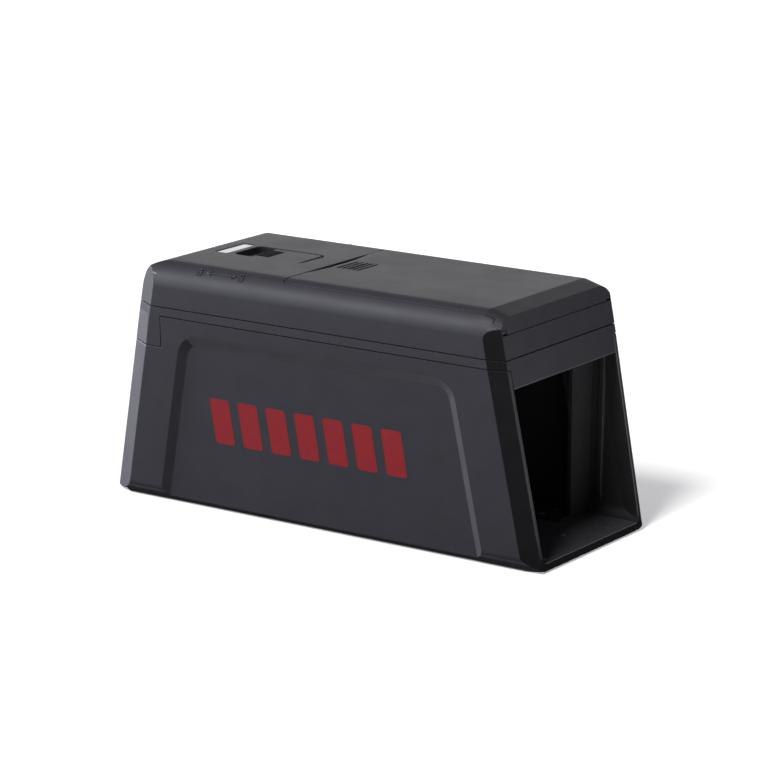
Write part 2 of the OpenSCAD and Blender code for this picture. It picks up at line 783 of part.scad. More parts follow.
module latch_carriage() {
  cross_x = frame_front_x - 6;
  color("#d8d8d4")
    difference() {
      union() {
        block([frame_rear_x, -9, hook_bottom_z], [frame_front_x, 9, hook_top_z]);
        block([cross_x, -arm_inner_y - arm_width, hook_bottom_z],
              [frame_front_x, arm_inner_y + arm_width, hook_top_z]);
        for (side = [-1, 1])
          mirror([0, side < 0 ? 1 : 0, 0]) {
            block([cross_x, arm_inner_y, hook_bottom_z],
                  [hook_x + hook_length, arm_inner_y + arm_width, hook_top_z]);
            block([hook_x, arm_inner_y - hook_width, hook_bottom_z],
                  [hook_x + hook_length, arm_inner_y + 0.5, hook_top_z]);
          }
        // Fork that carries the switch knob along
        for (end = [-1, 1])
          block([switch_x + end * 2.6 - 0.8, -3, board_z + switch_height + 1],
                [switch_x + end * 2.6 + 0.8, 3, hook_bottom_z + 0.5]);
      }
      for (end = [2, stem_size[0] - 2])
        upright([stem_x + end, 0], 0.8 + pin_fit, hook_bottom_z - 1, hook_top_z + 1);
    }
}

module carriage_screws() {
  color("silver")
    for (end = [2, stem_size[0] - 2]) {
      upright([stem_x + end, 0], 0.8, hook_bottom_z - 0.5, slider_bottom_z + 0.2);
      upright([stem_x + end, 0], 1.5, hook_bottom_z - 1 - seat, hook_bottom_z - seat);
    }
}

// ---- Light ----

module status_window() {
  color("#f2f4f2")
    union() {
      soft_block([window_rear_x, -window_size[1] / 2, height - wall - 1],
                 [window_front_x, window_size[1] / 2, window_top_z], 0.7);
      block([window_rear_x - 1, -window_size[1] / 2 - 1, height - wall - 1.2],
            [window_front_x + 1, window_size[1] / 2 + 1, height - wall - seat]);
      for (side = [-1, 1])
        upright([(window_front_x + window_rear_x) / 2, side * 5], 1.8, board_z + 5.5, height - wall - 1);
    }
}

module status_leds() {
  color("#d9f2d9")
    for (side = [-1, 1]) {
      upright([(window_front_x + window_rear_x) / 2, side * 5], 1.9, board_z + seat, board_z + 1);
      upright([(window_front_x + window_rear_x) / 2, side * 5], 1.5, board_z + seat, board_z + 3.8);
      translate([(window_front_x + window_rear_x) / 2, side * 5, board_z + 3.8]) sphere(r = 1.5, $fn = 32);
    }
}

// ---- Tunnel ----

// Upright panel from its edge at edge_y out to the wall on one side. Its screw flange lies on
// the floor behind it (toe is -1) or in front of it (toe is 1).
module diverter(x, side, edge_y, toe) {
  color("#26282b")
    difference() {
      intersection() {
        tunnel_space(gap);
        mirror([0, side < 0 ? 1 : 0, 0])
          union() {
            block([min(x, x + toe * diverter_thickness), edge_y, floor_z],
                  [max(x, x + toe * diverter_thickness), far, diverter_top_z]);
            block([min(x, x + toe * flange_length), edge_y - 8, floor_z],
                  [max(x, x + toe * flange_length), edge_y + 7, floor_z + gap + flange_thickness]);
          }
      }
      rivet_sites() upright([0, 0], rivet_r / 2 + pin_fit, -3.2, 1);
    }
}

module front_diverter() {
  diverter(front_diverter_x, 1, diverter_edge_y[0], -1);
}

module rear_diverter() {
  diverter(rear_diverter_x, -1, diverter_edge_y[1], 1);
}

module floor_rivets() {
  color("#3c3e42")
    rivet_sites() {
      upright([0, 0], rivet_r / 2, -3, 0.3);
      intersection() {
        translate([0, 0, -2.3]) sphere(r = 3.1, $fn = 48);
        upright([0, 0], rivet_r, seat, 2);
      }
    }
}

module rear_bulkhead() {
  color("#2a2c30")
    difference() {
      intersection() {
        union() {
          block([bulkhead_rear_x, -far, floor_z], [bulkhead_front_x, far, bulkhead_top_z]);
          block([bulkhead_rear_x, -30, floor_z], [bulkhead_front_x + 5, 30, floor_z + 1.6]);
        }
        union() {
          tub_space(wall + panel_depth + gap, floor_z + seat, lower_seam_z, fillet_r, 0);
          band_space(lip_inset + lip_thickness + gap, lower_seam_z - 1, bulkhead_top_z + 1);
        }
      }
      for (side = [-1, 1]) {
        upright([bulkhead_front_x + 2.6, side * 20], 1 + pin_fit, floor_z - 1, floor_z + 5);
      }
      // Ways for the leads to the floor plates
      for (i = [0:2])
        block([bulkhead_rear_x - 1, lead_y(i) - lead_width / 2 - 0.8, 0],
              [bulkhead_front_x + 6, lead_y(i) + lead_width / 2 + 0.8, floor_z + 0.8]);
    }
}

module bulkhead_screws() {
  color("silver")
    for (side = [-1, 1])
      upright([bulkhead_front_x + 2.6, side * 20], 1.8, floor_z + 1.6 + seat, floor_z + 2.8);
}

module floor_plate(index) {
  bottom_z = floor_z + plate_lift + seat;
  color("#b9bcc0")
    difference() {
      soft_block([plate_rear_x[index], -plate_width / 2, bottom_z],
                 [plate_rear_x[index] + plate_length, plate_width / 2, bottom_z + plate_thickness], 2);
      plate_screw_sites() upright([0, 0], plate_screw_r + pin_fit, 0, far);
    }
}

module front_plate() {
  floor_plate(2);
}

module middle_plate() {
  floor_plate(1);
}

module rear_plate() {
  floor_plate(0);
}

module plate_screws() {
  head_z = floor_z + plate_lift + plate_thickness + 2 * seat;
  color("silver")
    plate_screw_sites() {
      upright([0, 0], plate_screw_r, foot_drop + 1, head_z + 0.1);
      difference() {
        upright([0, 0], 2.2, head_z, head_z + 1);
        block([-1.6, -0.25, head_z + 0.6], [1.6, 0.25, head_z + 2]);
        block([-0.25, -1.6, head_z + 0.6], [0.25, 1.6, head_z + 2]);
      }
    }
}

// Place of one lead across the tunnel
function lead_y(i) = (i - 1) * 24;

// Three metal strips from the board down the bulkhead and forward under the plates
module plate_leads() {
  strip = 0.45;
  back_x = bulkhead_rear_x - gap;
  color("#c8a860")
    for (i = [0:2]) {
      low_y = lead_y(i) - lead_width / 2;
      high_y = lead_y(i) + lead_width / 2;
      tip_x = plate_rear_x[i] + plate_length - 6;
      block([back_x - strip, low_y, floor_z + seat], [back_x, high_y, board_z - board_thickness - seat]);
      block([back_x - strip, low_y, floor_z + seat], [tip_x, high_y, floor_z + seat + strip]);
      block([tip_x - 2, low_y, floor_z + seat], [tip_x, high_y, floor_z + plate_lift]);
    }
}

// ---- Electronics ----

module main_board() {
  color("#2f6b3c")
    difference() {
      block([board_rear_x, -board_half, board_z - board_thickness], [board_front_x, board_half, board_z]);
      for (x = board_post_x, side = [-1, 1])
        upright([x, side * board_post_y], board_screw_r + pin_fit, 0, far);
    }
}

module board_screws() {
  color("silver")
    for (x = board_post_x, side = [-1, 1]) {
      upright([x, side * board_post_y], board_screw_r, board_z - board_thickness - 1, board_z + 6);
      upright([x, side * board_post_y], 2, board_z - board_thickness - 1.2, board_z - board_thickness - seat);
    }
}

module transformer_core() {
  x = transformer_place[0];
  y = transformer_place[1];
  z = board_z + seat;
  color("#3b3b3f")
    difference() {
      block([x - 7, y - 6.5, z], [x + 7, y + 6.5, z + 10]);
      for (side = [-1, 1])
        block([x + side * 4 - 1.6, y - 7, z + 1.6], [x + side * 4 + 1.6, y + 7, z + 8.4]);
    }
}

module transformer_coil() {
  x = transformer_place[0];
  y = transformer_place[1];
  z = board_z + seat;
  color("#c8862c")
    difference() {
      block([x - 5.4, y - 8.2, z + 1.8], [x + 5.4, y + 8.2, z + 8.2]);
      block([x - 2.6, y - 6.7, z - 1], [x + 2.6, y + 6.7, z + 12]);
      for (side = [-1, 1])
        block([x + side * 7.3 - 1.6, y - 6.7, z - 1], [x + side * 7.3 + 1.6, y + 6.7, z + 12]);
    }
}

module capacitors() {
  color("#28324a")
    for (i = [0:1])
      difference() {
        upright([board_rear_x + 16 + i * 12, 20], 4.5, board_z + seat, board_z + 10);
        translate([board_rear_x + 16 + i * 12, 20, board_z + 1.6])
          rotate_extrude($fn = 48) translate([4.6, 0]) circle(r = 0.5, $fn = 16);
      }
}

module film_capacitor() {
  color("#9c2f22")
    soft_block([board_rear_x + 36, -23, board_z + seat], [board_rear_x + 49, -16, board_z + 9], 1);
}

module control_chip() {
  x = board_rear_x + 40;
  color("#1a1a1c")
    union() {
      block([x, 12, board_z + 0.4], [x + 10, 18, board_z + 2]);
      for (i = [0:6], side = [-1, 1])
        block([x + 0.8 + i * 1.3, 15 + side * 3.6 - 0.6, board_z + seat],
              [x + 1.3 + i * 1.3, 15 + side * 3.6 + 0.6, board_z + 1]);
    }
}

module interlock_switch() {
  color("#b8bcc4")
    difference() {
      block([switch_x - 9, -3.5, board_z + seat], [switch_x + 5, 3.5, board_z + switch_height]);
      block([switch_x - lock_travel - 2.6, -1.5, board_z + switch_height - 2],
            [switch_x + 2.6, 1.5, board_z + switch_height + 1]);
    }
}

module switch_knob() {
  color("#151517")
    block([switch_x - 1.5, -1.2, board_z + switch_height - 1.6], [switch_x + 1.5, 1.2, hook_bottom_z - 2]);
}

// ---- Batteries ----

module battery_tray() {
  color("#232427")
    difference() {
      block([bay_rear_x - tray_wall, -bay_half - tray_wall, floor_z + seat],
            [bay_front_x + tray_wall, bay_half + tray_wall, tray_roof_z + tray_wall]);
      block([bay_rear_x, -bay_half, 0], [bay_front_x, bay_half, tray_roof_z]);
    }
}

// The cells lie side by side, and every second one is turned round.
module cell_places() {
  for (i = [0:cell_count - 1])
    translate([(bay_front_x + bay_rear_x) / 2, (i - (cell_count - 1) / 2) * cell_pitch, cell_z])
      rotate([0, 0, i % 2 * 180])
        children();
}

module battery_cells() {
  nub = 1;
  color("#3d4f78")
    cell_places()
      translate([-bay_length / 2 + 2 * contact_room - contact_thickness - 0.1, 0, 0])
        rotate([0, 90, 0]) {
          cylinder(d = cell_d, h = cell_length - nub, $fn = 64);
          cylinder(r = 2.75, h = cell_length, $fn = 48);
        }
}

module contact_strips() {
  color("#d6d8da")
    for (end = [-1, 1], pair = [0:cell_count / 2 - 1])
      translate([end > 0 ? bay_front_x - contact_thickness - seat : bay_rear_x + seat,
                 (2 * pair + 1 - cell_count / 2) * cell_pitch - cell_pitch * 0.8, cell_z - 5])
        cube([contact_thickness, cell_pitch * 1.6, 10]);
}

module contact_springs() {
  reach = 2 * contact_room - 2 * contact_thickness - 0.1 - 4 * seat;
  color("#d6d8da")
    cell_places()
      translate([-bay_length / 2 + contact_thickness + 2 * seat, 0, 0])
        rotate([0, 90, 0])
          cylinder(r1 = 4.5, r2 = 3, h = reach, $fn = 48);
}

module battery_door() {
  color("#2b2d31")
    difference() {
      union() {
        block([bay_rear_x + gap, -bay_half + gap, foot_drop],
              [door_hinge_x, bay_half - gap, foot_drop + door_thickness]);
        crossbar(door_hinge_x, door_hinge_z, door_hinge_r, -bay_half + gap, bay_half - gap);
        crossbar(door_hinge_x, door_hinge_z, door_pin_r, -bay_half - 1.4, bay_half + 1.4);
        for (i = [0:2])
          block([bay_rear_x + 5, (i - 1) * cell_pitch - 0.6, foot_drop + door_thickness - 0.5],
                [door_hinge_x - 6, (i - 1) * cell_pitch + 0.6, cell_z - cell_d / 2 - 0.4]);
      }
      upright([bay_rear_x, 0], 8, 0, foot_drop + 0.8);
    }
}

// ---- Fasteners and feet ----

module housing_screws() {
  color("silver")
    screw_places() {
      upright([0, 0], screw_shank_r, screw_head_z + 1, screw_joint_z + 10);
      difference() {
        upright([0, 0], screw_head_r, screw_head_z, screw_head_z + 2 - seat);
        block([-1.8, -0.3, screw_head_z - 1], [1.8, 0.3, screw_head_z + 1]);
        block([-0.3, -1.8, screw_head_z - 1], [0.3, 1.8, screw_head_z + 1]);
      }
    }
}

module rubber_feet() {
  color("#1b1b1d")
    foot_sites() upright([0, 0], foot_r, 0, foot_drop + foot_recess - seat);
}

base_shell();
mid_frame();
upper_housing();
lid();
hinge_pins();
lock_slider();
slider_grip();
latch_carriage();
carriage_screws();
status_window();
status_leds();
front_diverter();
rear_diverter();
floor_rivets();
rear_bulkhead();
bulkhead_screws();
front_plate();
middle_plate();
rear_plate();
plate_screws();
plate_leads();
main_board();
board_screws();
transformer_core();
transformer_coil();
capacitors();
film_capacitor();
control_chip();
interlock_switch();
switch_knob();
battery_tray();
battery_cells();
contact_strips();
contact_springs();
battery_door();
housing_screws();
rubber_feet();
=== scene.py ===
"""Looks of the tunnel-type electronic mouse trap, built round its fixed frame.

Lengths are metres in the frame of the part: +X towards the open mouth, +Z up, the ground at z = 0.
"""

import json
import logging
from dataclasses import dataclass, field
from enum import Enum, IntEnum
from math import ceil, copysign, cos, hypot, pi, radians, sin

import bmesh
import bpy
from bmesh.types import BMEdge, BMesh
from bpy.types import Curve, ID, Material, Mesh, Node, NodeSocket, Object
from mathutils import Matrix, Vector
from mathutils.bvhtree import BVHTree
from mathutils.kdtree import KDTree

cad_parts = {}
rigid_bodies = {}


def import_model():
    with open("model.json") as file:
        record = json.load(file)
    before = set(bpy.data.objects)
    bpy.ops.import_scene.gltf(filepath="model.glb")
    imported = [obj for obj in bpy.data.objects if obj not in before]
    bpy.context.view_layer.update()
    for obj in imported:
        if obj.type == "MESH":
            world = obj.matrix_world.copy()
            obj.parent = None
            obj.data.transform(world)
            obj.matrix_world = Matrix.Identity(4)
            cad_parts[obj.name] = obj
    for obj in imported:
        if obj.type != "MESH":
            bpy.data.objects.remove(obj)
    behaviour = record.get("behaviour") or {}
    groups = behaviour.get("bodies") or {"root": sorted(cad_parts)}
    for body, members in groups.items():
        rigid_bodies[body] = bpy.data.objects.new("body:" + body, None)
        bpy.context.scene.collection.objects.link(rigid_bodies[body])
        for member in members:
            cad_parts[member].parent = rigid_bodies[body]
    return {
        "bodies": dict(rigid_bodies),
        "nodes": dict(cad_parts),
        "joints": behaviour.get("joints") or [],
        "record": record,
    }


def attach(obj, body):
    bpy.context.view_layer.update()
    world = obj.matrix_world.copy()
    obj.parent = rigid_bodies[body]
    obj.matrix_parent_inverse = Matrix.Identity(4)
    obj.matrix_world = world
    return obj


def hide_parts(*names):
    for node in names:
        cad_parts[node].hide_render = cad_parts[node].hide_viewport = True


log = logging.getLogger("trap")

MM = 0.001
CASE = "case"
FLOOR_RIM = 114.05 * MM
FLAT = 0.9
Pair = tuple[float, float]
Point = tuple[float, float, float]
Colour = tuple[float, float, float]
Row = tuple[float, ...]
Cuts = tuple[Row, Row, Row]
Outline = tuple[Pair, ...]


class Side(Enum):
    """The two long sides of the shell, by the sign of y."""

    NEAR = -1
    FAR = 1


class Look(IntEnum):
    """The finishes of a shell, by material index: its own, and copies that paint light and shade."""

    SHELL = 0
    PAINTED_SHADE = 1
    INNER_WALL_SHADE = 2
    TUNNEL_FLOOR_SHEEN = 3
    RIM_HIGHLIGHT = 4
    RECESS_SLOPE = 5
    FLOOR_LIP = 6


class Wrap(IntEnum):
    """The finishes of a battery cell, by material index."""

    SLEEVE = 0
    STEEL = 1
    BAND = 2


def placed(name: str, data: ID) -> Object:
    """Makes an object of its data and links it to the scene.

    Args:
        name: Name of the object.
        data: Its mesh, lamp or camera.

    Returns:
        The object.
    """
    obj = bpy.data.objects.new(name, data)
    bpy.context.scene.collection.objects.link(obj)
    return obj


def finished(work: BMesh, name: str) -> Mesh:
    """Turns a worked mesh into a mesh of the file and frees it.

    Args:
        work: The worked mesh.
        name: Name of the mesh.

    Returns:
        The mesh.
    """
    mesh = bpy.data.meshes.new(name)
    work.to_mesh(mesh)
    work.free()
    return mesh


def modify(obj: Object, name: str, kind: str, **values: object) -> None:
    """Adds a modifier to an object.

    Args:
        obj: The object.
        name: Name of the modifier.
        kind: Blender's name of its type.
        **values: Its settings.
    """
    modifier = obj.modifiers.new(name, kind)
    for key, value in values.items():
        setattr(modifier, key, value)


def round_wire(name: str, radius: float, resolution: int) -> Curve:
    """Starts a curve that is swept as a round wire.

    Args:
        name: Name of the curve.
        radius: Radius of the wire.
        resolution: How finely it is rounded.

    Returns:
        The curve.
    """
    curve = bpy.data.curves.new(name, "CURVE")
    curve.dimensions = "3D"
    curve.bevel_depth = radius
    curve.bevel_resolution = resolution
    curve.use_fill_caps = True
    return curve


class Wiring:
    """The node tree of one material, with short ways to add and join its nodes."""

    def __init__(self, name: str, **inputs: object) -> None:
        """Starts a material.

        Args:
            name: Name of the material.
            **inputs: Values of its shader's inputs, with underscores for spaces.
        """
        self.material = bpy.data.materials.new(name)
        self.material.use_nodes = True
        self.tree = self.material.node_tree
        self.shader = self.tree.nodes["Principled BSDF"]
        self.fill(self.shader, inputs)
        self.place = self.add("ShaderNodeTexCoord").outputs["Object"]

    def fill(self, node: Node, inputs: dict[str, object]) -> None:
        """Sets the inputs of a node by name, with underscores for spaces."""
        for name, value in inputs.items():
            node.inputs[name.replace("_", " ")].default_value = value

    def add(self, kind: str, **inputs: object) -> Node:
        """Adds a node and sets its inputs by name.

        Args:
            kind: Blender's name of the node type.
            **inputs: Values of the inputs, with underscores for spaces.

        Returns:
            The new node.
        """
        node = self.tree.nodes.new(kind)
        self.fill(node, inputs)
        return node

    def join(self, start: NodeSocket, end: NodeSocket) -> None:
        """Joins an output to an input."""
        self.tree.links.new(start, end)

    def noise(self, size: float, detail: float = 2.0, stretch: Point = (1, 1, 1)) -> NodeSocket:
        """Adds a noise pattern.

        Args:
            size: Size of its features.
            detail: Number of finer octaves.
            stretch: How much finer the pattern is along each axis.

        Returns:
            The output that carries its value.
        """
        scaled = self.add("ShaderNodeMapping", Scale=stretch)
        self.join(self.place, scaled.inputs["Vector"])
        node = self.add("ShaderNodeTexNoise", Scale=1.0 / size, Detail=detail, Roughness=0.55)
        self.join(scaled.outputs["Vector"], node.inputs["Vector"])
        return node.outputs["Fac"]

    def spread(self, value: NodeSocket, low: float, high: float) -> NodeSocket:
        """Maps the middle of a noise pattern to a range.

        Args:
            value: The pattern.
            low: Result where the pattern is at 0.3.
            high: Result where the pattern is at 0.7.

        Returns:
            The mapped output.
        """
        node = self.add("ShaderNodeMapRange", From_Min=0.3, From_Max=0.7, To_Min=low, To_Max=high)
        self.join(value, node.inputs["Value"])
        return node.outputs["Result"]

    def blend(self, share: NodeSocket, first: Colour, second: Colour) -> NodeSocket:
        """Mixes two colours by a share.

        Args:
            share: Output from 0 to 1.
            first: Colour at 0.
            second: Colour at 1.

        Returns:
            The mixed colour.
        """
        node = self.tree.nodes.new("ShaderNodeMix")
        node.data_type = "RGBA"
        node.inputs[6].default_value = (*first, 1)
        node.inputs[7].default_value = (*second, 1)
        self.join(share, node.inputs["Factor"])
        return node.outputs[2]

    def mottle(self, pattern: NodeSocket, first: Colour, second: Colour) -> None:
        """Mottles the surface between two colours by a pattern."""
        self.join(self.blend(self.spread(pattern, 0, 1), first, second), self.shader.inputs["Base Color"])

    def gloss(self, pattern: NodeSocket, low: float, high: float) -> None:
        """Varies the roughness between two values by a pattern."""
        self.join(self.spread(pattern, low, high), self.shader.inputs["Roughness"])

    def relief(self, height: NodeSocket, depth: float) -> None:
        """Bends the surface by a height pattern.

        Args:
            height: The pattern.
            depth: Height of its full range.
        """
        node = self.add("ShaderNodeBump", Strength=1.0, Distance=depth)
        self.join(height, node.inputs["Height"])
        self.join(node.outputs["Normal"], self.shader.inputs["Normal"])


def shade(colour: Colour, factor: float) -> Colour:
    """Returns the colour made darker or lighter by a factor."""
    return tuple(min(1.0, c * factor) for c in colour)


@dataclass(frozen=True)
class MouldedPlastic:
    """Injection-moulded plastic: a fine spark-eroded grain, or a smooth face."""

    name: str
    colour: Colour
    roughness: float
    specular: float = 0.5
    grain: float = 0.45 * MM
    depth: float = 0.02 * MM
    mottle: float = 0.08

    def material(self) -> Material:
        """Builds the material.

        Returns:
            The material.
        """
        wiring = Wiring(self.name, Specular_IOR_Level=self.specular)
        dark, light = shade(self.colour, 1 - self.mottle), shade(self.colour, 1 + self.mottle)
        wiring.mottle(wiring.noise(9 * MM, detail=3), dark, light)
        flow = wiring.noise(22 * MM, detail=2, stretch=(1, 1, 1.6))
        wiring.gloss(flow, self.roughness - 0.03, self.roughness + 0.03)
        wiring.relief(wiring.noise(self.grain, detail=1.5), self.depth)
        return wiring.material


@dataclass(frozen=True)
class SheetMetal:
    """Rolled or plated metal with fine scratches along one axis."""

    name: str
    colour: Colour
    roughness: float
    along: Point = (0.06, 1, 1)
    depth: float = 0.004 * MM

    def material(self) -> Material:
        """Builds the material.

        Returns:
            The material.
        """
        wiring = Wiring(self.name, Metallic=1.0)
        wiring.mottle(wiring.noise(7 * MM, detail=3), shade(self.colour, 0.86), shade(self.colour, 1.06))
        lines = wiring.noise(0.25 * MM, detail=2, stretch=self.along)
        wiring.gloss(lines, self.roughness - 0.06, self.roughness + 0.1)
        wiring.relief(lines, self.depth)
        return wiring.material


@dataclass(frozen=True)
class LightGuide:
    """Milky plastic that lets the status light through."""

    name: str
    colour: Colour
    roughness: float = 0.3

    def material(self) -> Material:
        """Builds the material.

        Returns:
            The material.
        """
        milk = {"Subsurface_Radius": (0.004, 0.004, 0.0045), "Subsurface_Scale": 0.5}
        wiring = Wiring(self.name, Subsurface_Weight=0.25, **milk)
        cloud = wiring.noise(4 * MM, detail=2)
        wiring.mottle(cloud, shade(self.colour, 0.94), self.colour)
        wiring.gloss(cloud, self.roughness, self.roughness + 0.08)
        wiring.relief(wiring.noise(1.2 * MM), 0.004 * MM)
        return wiring.material


@dataclass(frozen=True)
class Ink:
    """Pad-printed ink, a little uneven where the grain below shows through."""

    name: str
    colour: Colour
    roughness: float = 0.5

    def material(self) -> Material:
        """Builds the material.

        Returns:
            The material.
        """
        wiring = Wiring(self.name, Specular_IOR_Level=0.3)
        cloud = wiring.noise(3 * MM, detail=3)
        wiring.mottle(cloud, shade(self.colour, 0.92), shade(self.colour, 1.05))
        wiring.gloss(cloud, self.roughness, self.roughness + 0.06)
        wiring.relief(wiring.noise(0.45 * MM, detail=1.5), 0.012 * MM)
        return wiring.material


@dataclass(frozen=True)
class Laminate:
    """Glass-fibre board: solder mask over a weave, with tracks a little raised."""

    name: str
    colour: Colour

    def material(self) -> Material:
        """Builds the material.

        Returns:
            The material.
        """
        wiring = Wiring(self.name)
        tones = {"Color1": (*shade(self.colour, 0.85), 1), "Color2": (*self.colour, 1)}
        tones["Mortar"] = (*shade(self.colour, 1.7), 1)
        bricks = wiring.add("ShaderNodeTexBrick", Scale=1.0 / (6 * MM), Mortar_Size=0.012, **tones)
        wiring.join(wiring.place, bricks.inputs["Vector"])
        wiring.join(bricks.outputs["Color"], wiring.shader.inputs["Base Color"])
        weave = wiring.noise(0.6 * MM, detail=1)
        wiring.gloss(weave, 0.28, 0.4)
        wiring.relief(weave, 0.01 * MM)
        return wiring.material


@dataclass(frozen=True)
class Winding:
    """Tape or wire wound in turns round the Z axis or along it."""

    name: str
    colour: Colour
    pitch: float = 0.7 * MM

    def material(self) -> Material:
        """Builds the material.

        Returns:
            The material.
        """
        wiring = Wiring(self.name)
        turns = wiring.add("ShaderNodeTexWave", Scale=0.1 / self.pitch, Distortion=0.3, Detail=1.0)
        turns.bands_direction = "X"
        wiring.join(wiring.place, turns.inputs["Vector"])
        colour = wiring.blend(turns.outputs["Fac"], shade(self.colour, 0.7), shade(self.colour, 1.1))
        wiring.join(colour, wiring.shader.inputs["Base Color"])
        wiring.gloss(wiring.noise(2 * MM), 0.32, 0.45)
        wiring.relief(turns.outputs["Fac"], 0.1 * MM)
        return wiring.material


CHARCOAL = (0.030, 0.030, 0.036)
FINISHES = {
    "shell_plastic": MouldedPlastic("grained_charcoal", CHARCOAL, 0.52),
    "slider_plastic": MouldedPlastic("satin_charcoal", CHARCOAL, 0.52, depth=0.012 * MM),
    "grip_plastic": MouldedPlastic("soft_black", (0.008, 0.008, 0.009), 0.55, 0.4, depth=0.008 * MM),
    "natural_plastic": MouldedPlastic("natural_nylon", (0.55, 0.54, 0.49), 0.42, depth=0.005 * MM),
    "inner_plastic": MouldedPlastic("smooth_black", (0.024, 0.024, 0.026), 0.34, depth=0.004 * MM),
    "foot_rubber": MouldedPlastic("soft_rubber", (0.014, 0.014, 0.014), 0.75, 0.3, depth=0.03 * MM),
    "ferrite": MouldedPlastic("fired_ferrite", (0.04, 0.038, 0.036), 0.6, 0.4, grain=0.8 * MM),
    "capacitor_sleeve": MouldedPlastic("shrink_sleeve", (0.012, 0.02, 0.06), 0.3, depth=0.003 * MM),
    "capacitor_red": MouldedPlastic("dipped_resin", (0.24, 0.03, 0.015), 0.22, grain=2 * MM),
    "cell_sleeve": MouldedPlastic("cell_wrap", (0.03, 0.05, 0.12), 0.3, depth=0.003 * MM),
    "window_plastic": LightGuide("milky_guide", (0.74, 0.76, 0.78)),
    "steel": SheetMetal("zinc_plated_steel", (0.55, 0.55, 0.54), 0.3),
    "plate_metal": SheetMetal("galvanised_sheet", (0.5, 0.51, 0.52), 0.34),
    "lead_brass": SheetMetal("spring_brass", (0.62, 0.44, 0.16), 0.3),
    "board_laminate": Laminate("green_laminate", (0.012, 0.09, 0.03)),
    "coil_tape": Winding("amber_tape", (0.42, 0.2, 0.03)),
}
# Smoother copy of the shell's finish whose dark colour is painted shade on the front facets, the floor's end
# face and the seam roundings.
PAINTED_SHADE = MouldedPlastic(
    "painted_shade_charcoal", (0.009, 0.009, 0.0105), 0.36, 0.28, depth=0.004 * MM, mottle=0.15
)
# Smoother copy of the shell's finish on the inward faces; its slightly darker colour is painted shade inside
# the tunnel.
INNER_WALL_SHADE = MouldedPlastic("inner_wall_painted_shade", (0.026, 0.026, 0.028), 0.42, 0.35, depth=0.006 * MM)
# Glossy copy of the shell's finish for the tunnel floor; the gloss is real, its lighter colour is a painted
# sheen.
TUNNEL_FLOOR_SHEEN = MouldedPlastic("tunnel_floor_painted_sheen", (0.07, 0.07, 0.075), 0.24, 0.7, depth=0.004 * MM)
# Glossy finish for the rivet heads; the gloss is real, the lighter colour paints their glints.
RIVET_GLINT = MouldedPlastic("rivet_head_painted_glint", (0.06, 0.06, 0.064), 0.24, 0.6, depth=0.002 * MM)
CELL_BAND = MouldedPlastic("cell_end_band", (0.3, 0.31, 0.33), 0.3, depth=0.003 * MM)
# Lighter copy of the shell's finish on the roundings round the mouth: a painted highlight along the rim.
RIM_HIGHLIGHT = MouldedPlastic("rim_painted_highlight", (0.085, 0.085, 0.092), 0.36, depth=0.003 * MM)
# Much lighter copy on the strip at the front of the tunnel floor: a painted highlight along its lip.
FLOOR_LIP = MouldedPlastic("floor_lip", (0.17, 0.17, 0.18), 0.4, depth=0.003 * MM)
# Lighter, purple-tinted copy on the recess slopes of the side panels: painted light on them.
RECESS_SLOPE = MouldedPlastic("recess_slope", (0.082, 0.079, 0.088), 0.45, 0.6, depth=0.008 * MM)
RED_INK = Ink("red_ink", (0.30, 0.018, 0.022))
SYMBOL = MouldedPlastic("raised_symbol", CHARCOAL, 0.4, depth=0.004 * MM)


class Workshop:
    """Holds the frame and the finishes, and turns meshes into pieces of the trap."""

    def __init__(self, frame: dict) -> None:
        """Takes the frame and builds its finishes once.
        """
        self.nodes = frame["nodes"]
        self.materials = {slot: finish.material() for slot, finish in FINISHES.items()}
        self.slots = {row["node"]: row["material_slot"] for row in frame["record"]["subparts"]}
        self.bodies = {
            node: body for body, nodes in frame["record"]["behaviour"]["bodies"].items() for node in nodes
        }
        # Lighter and darker copies of the shell's finish, which paint light and shade on places of the
        # shells.
        self.places = [
            finish.material()
            for finish in (PAINTED_SHADE, INNER_WALL_SHADE, TUNNEL_FLOOR_SHEEN, RIM_HIGHLIGHT, RECESS_SLOPE, FLOOR_LIP)
        ]
        self.red_ink = RED_INK.material()
        self.symbol = SYMBOL.material()
        self.done: set[str] = set()

    def piece(
        self,
        mesh: Mesh,
        name: str,
        body: str,
        slot: str,
        material: Material | None = None,
        replaces: tuple[str, ...] = (),
    ) -> Object:
        """Makes a mesh a piece of the trap.

        Args:
            mesh: The mesh, in the frame of the part.
            name: Name of the piece.
            body: Body that it rides on.
            slot: Material slot that it takes its finish from.
            material: Its material, or None for that of the slot.
            replaces: Nodes that it stands for.

        Returns:
            The new object.
        """
        # Clearing also puts every face back to the first finish, so a bare mesh is left alone.
        if mesh.materials:
            mesh.materials.clear()
        mesh.materials.append(material or self.materials[slot])
        obj = placed(name, mesh)
        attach(obj, body)
        if replaces:
            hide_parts(*replaces)
            self.done.update(replaces)
        log.info("%s rides on %s: %d faces", name, body, len(mesh.polygons))
        return obj

    def paint(self, node: str) -> None:
        """Gives a node that stays as it is the finish of its slot.

        Args:
            node: The node.
        """
        obj = self.nodes[node]
        material = self.materials[self.slots[node]]
        if not obj.material_slots:
            obj.data.materials.append(material)
        for slot in obj.material_slots:
            slot.material = material
        self.done.add(node)
        log.info("%s keeps its solid and gets %s", node, material.name)

    def paint_rest(self) -> None:
        """Gives every node that nothing has dressed yet the finish of its slot."""
        for node in self.nodes:
            if node not in self.done:
                self.paint(node)


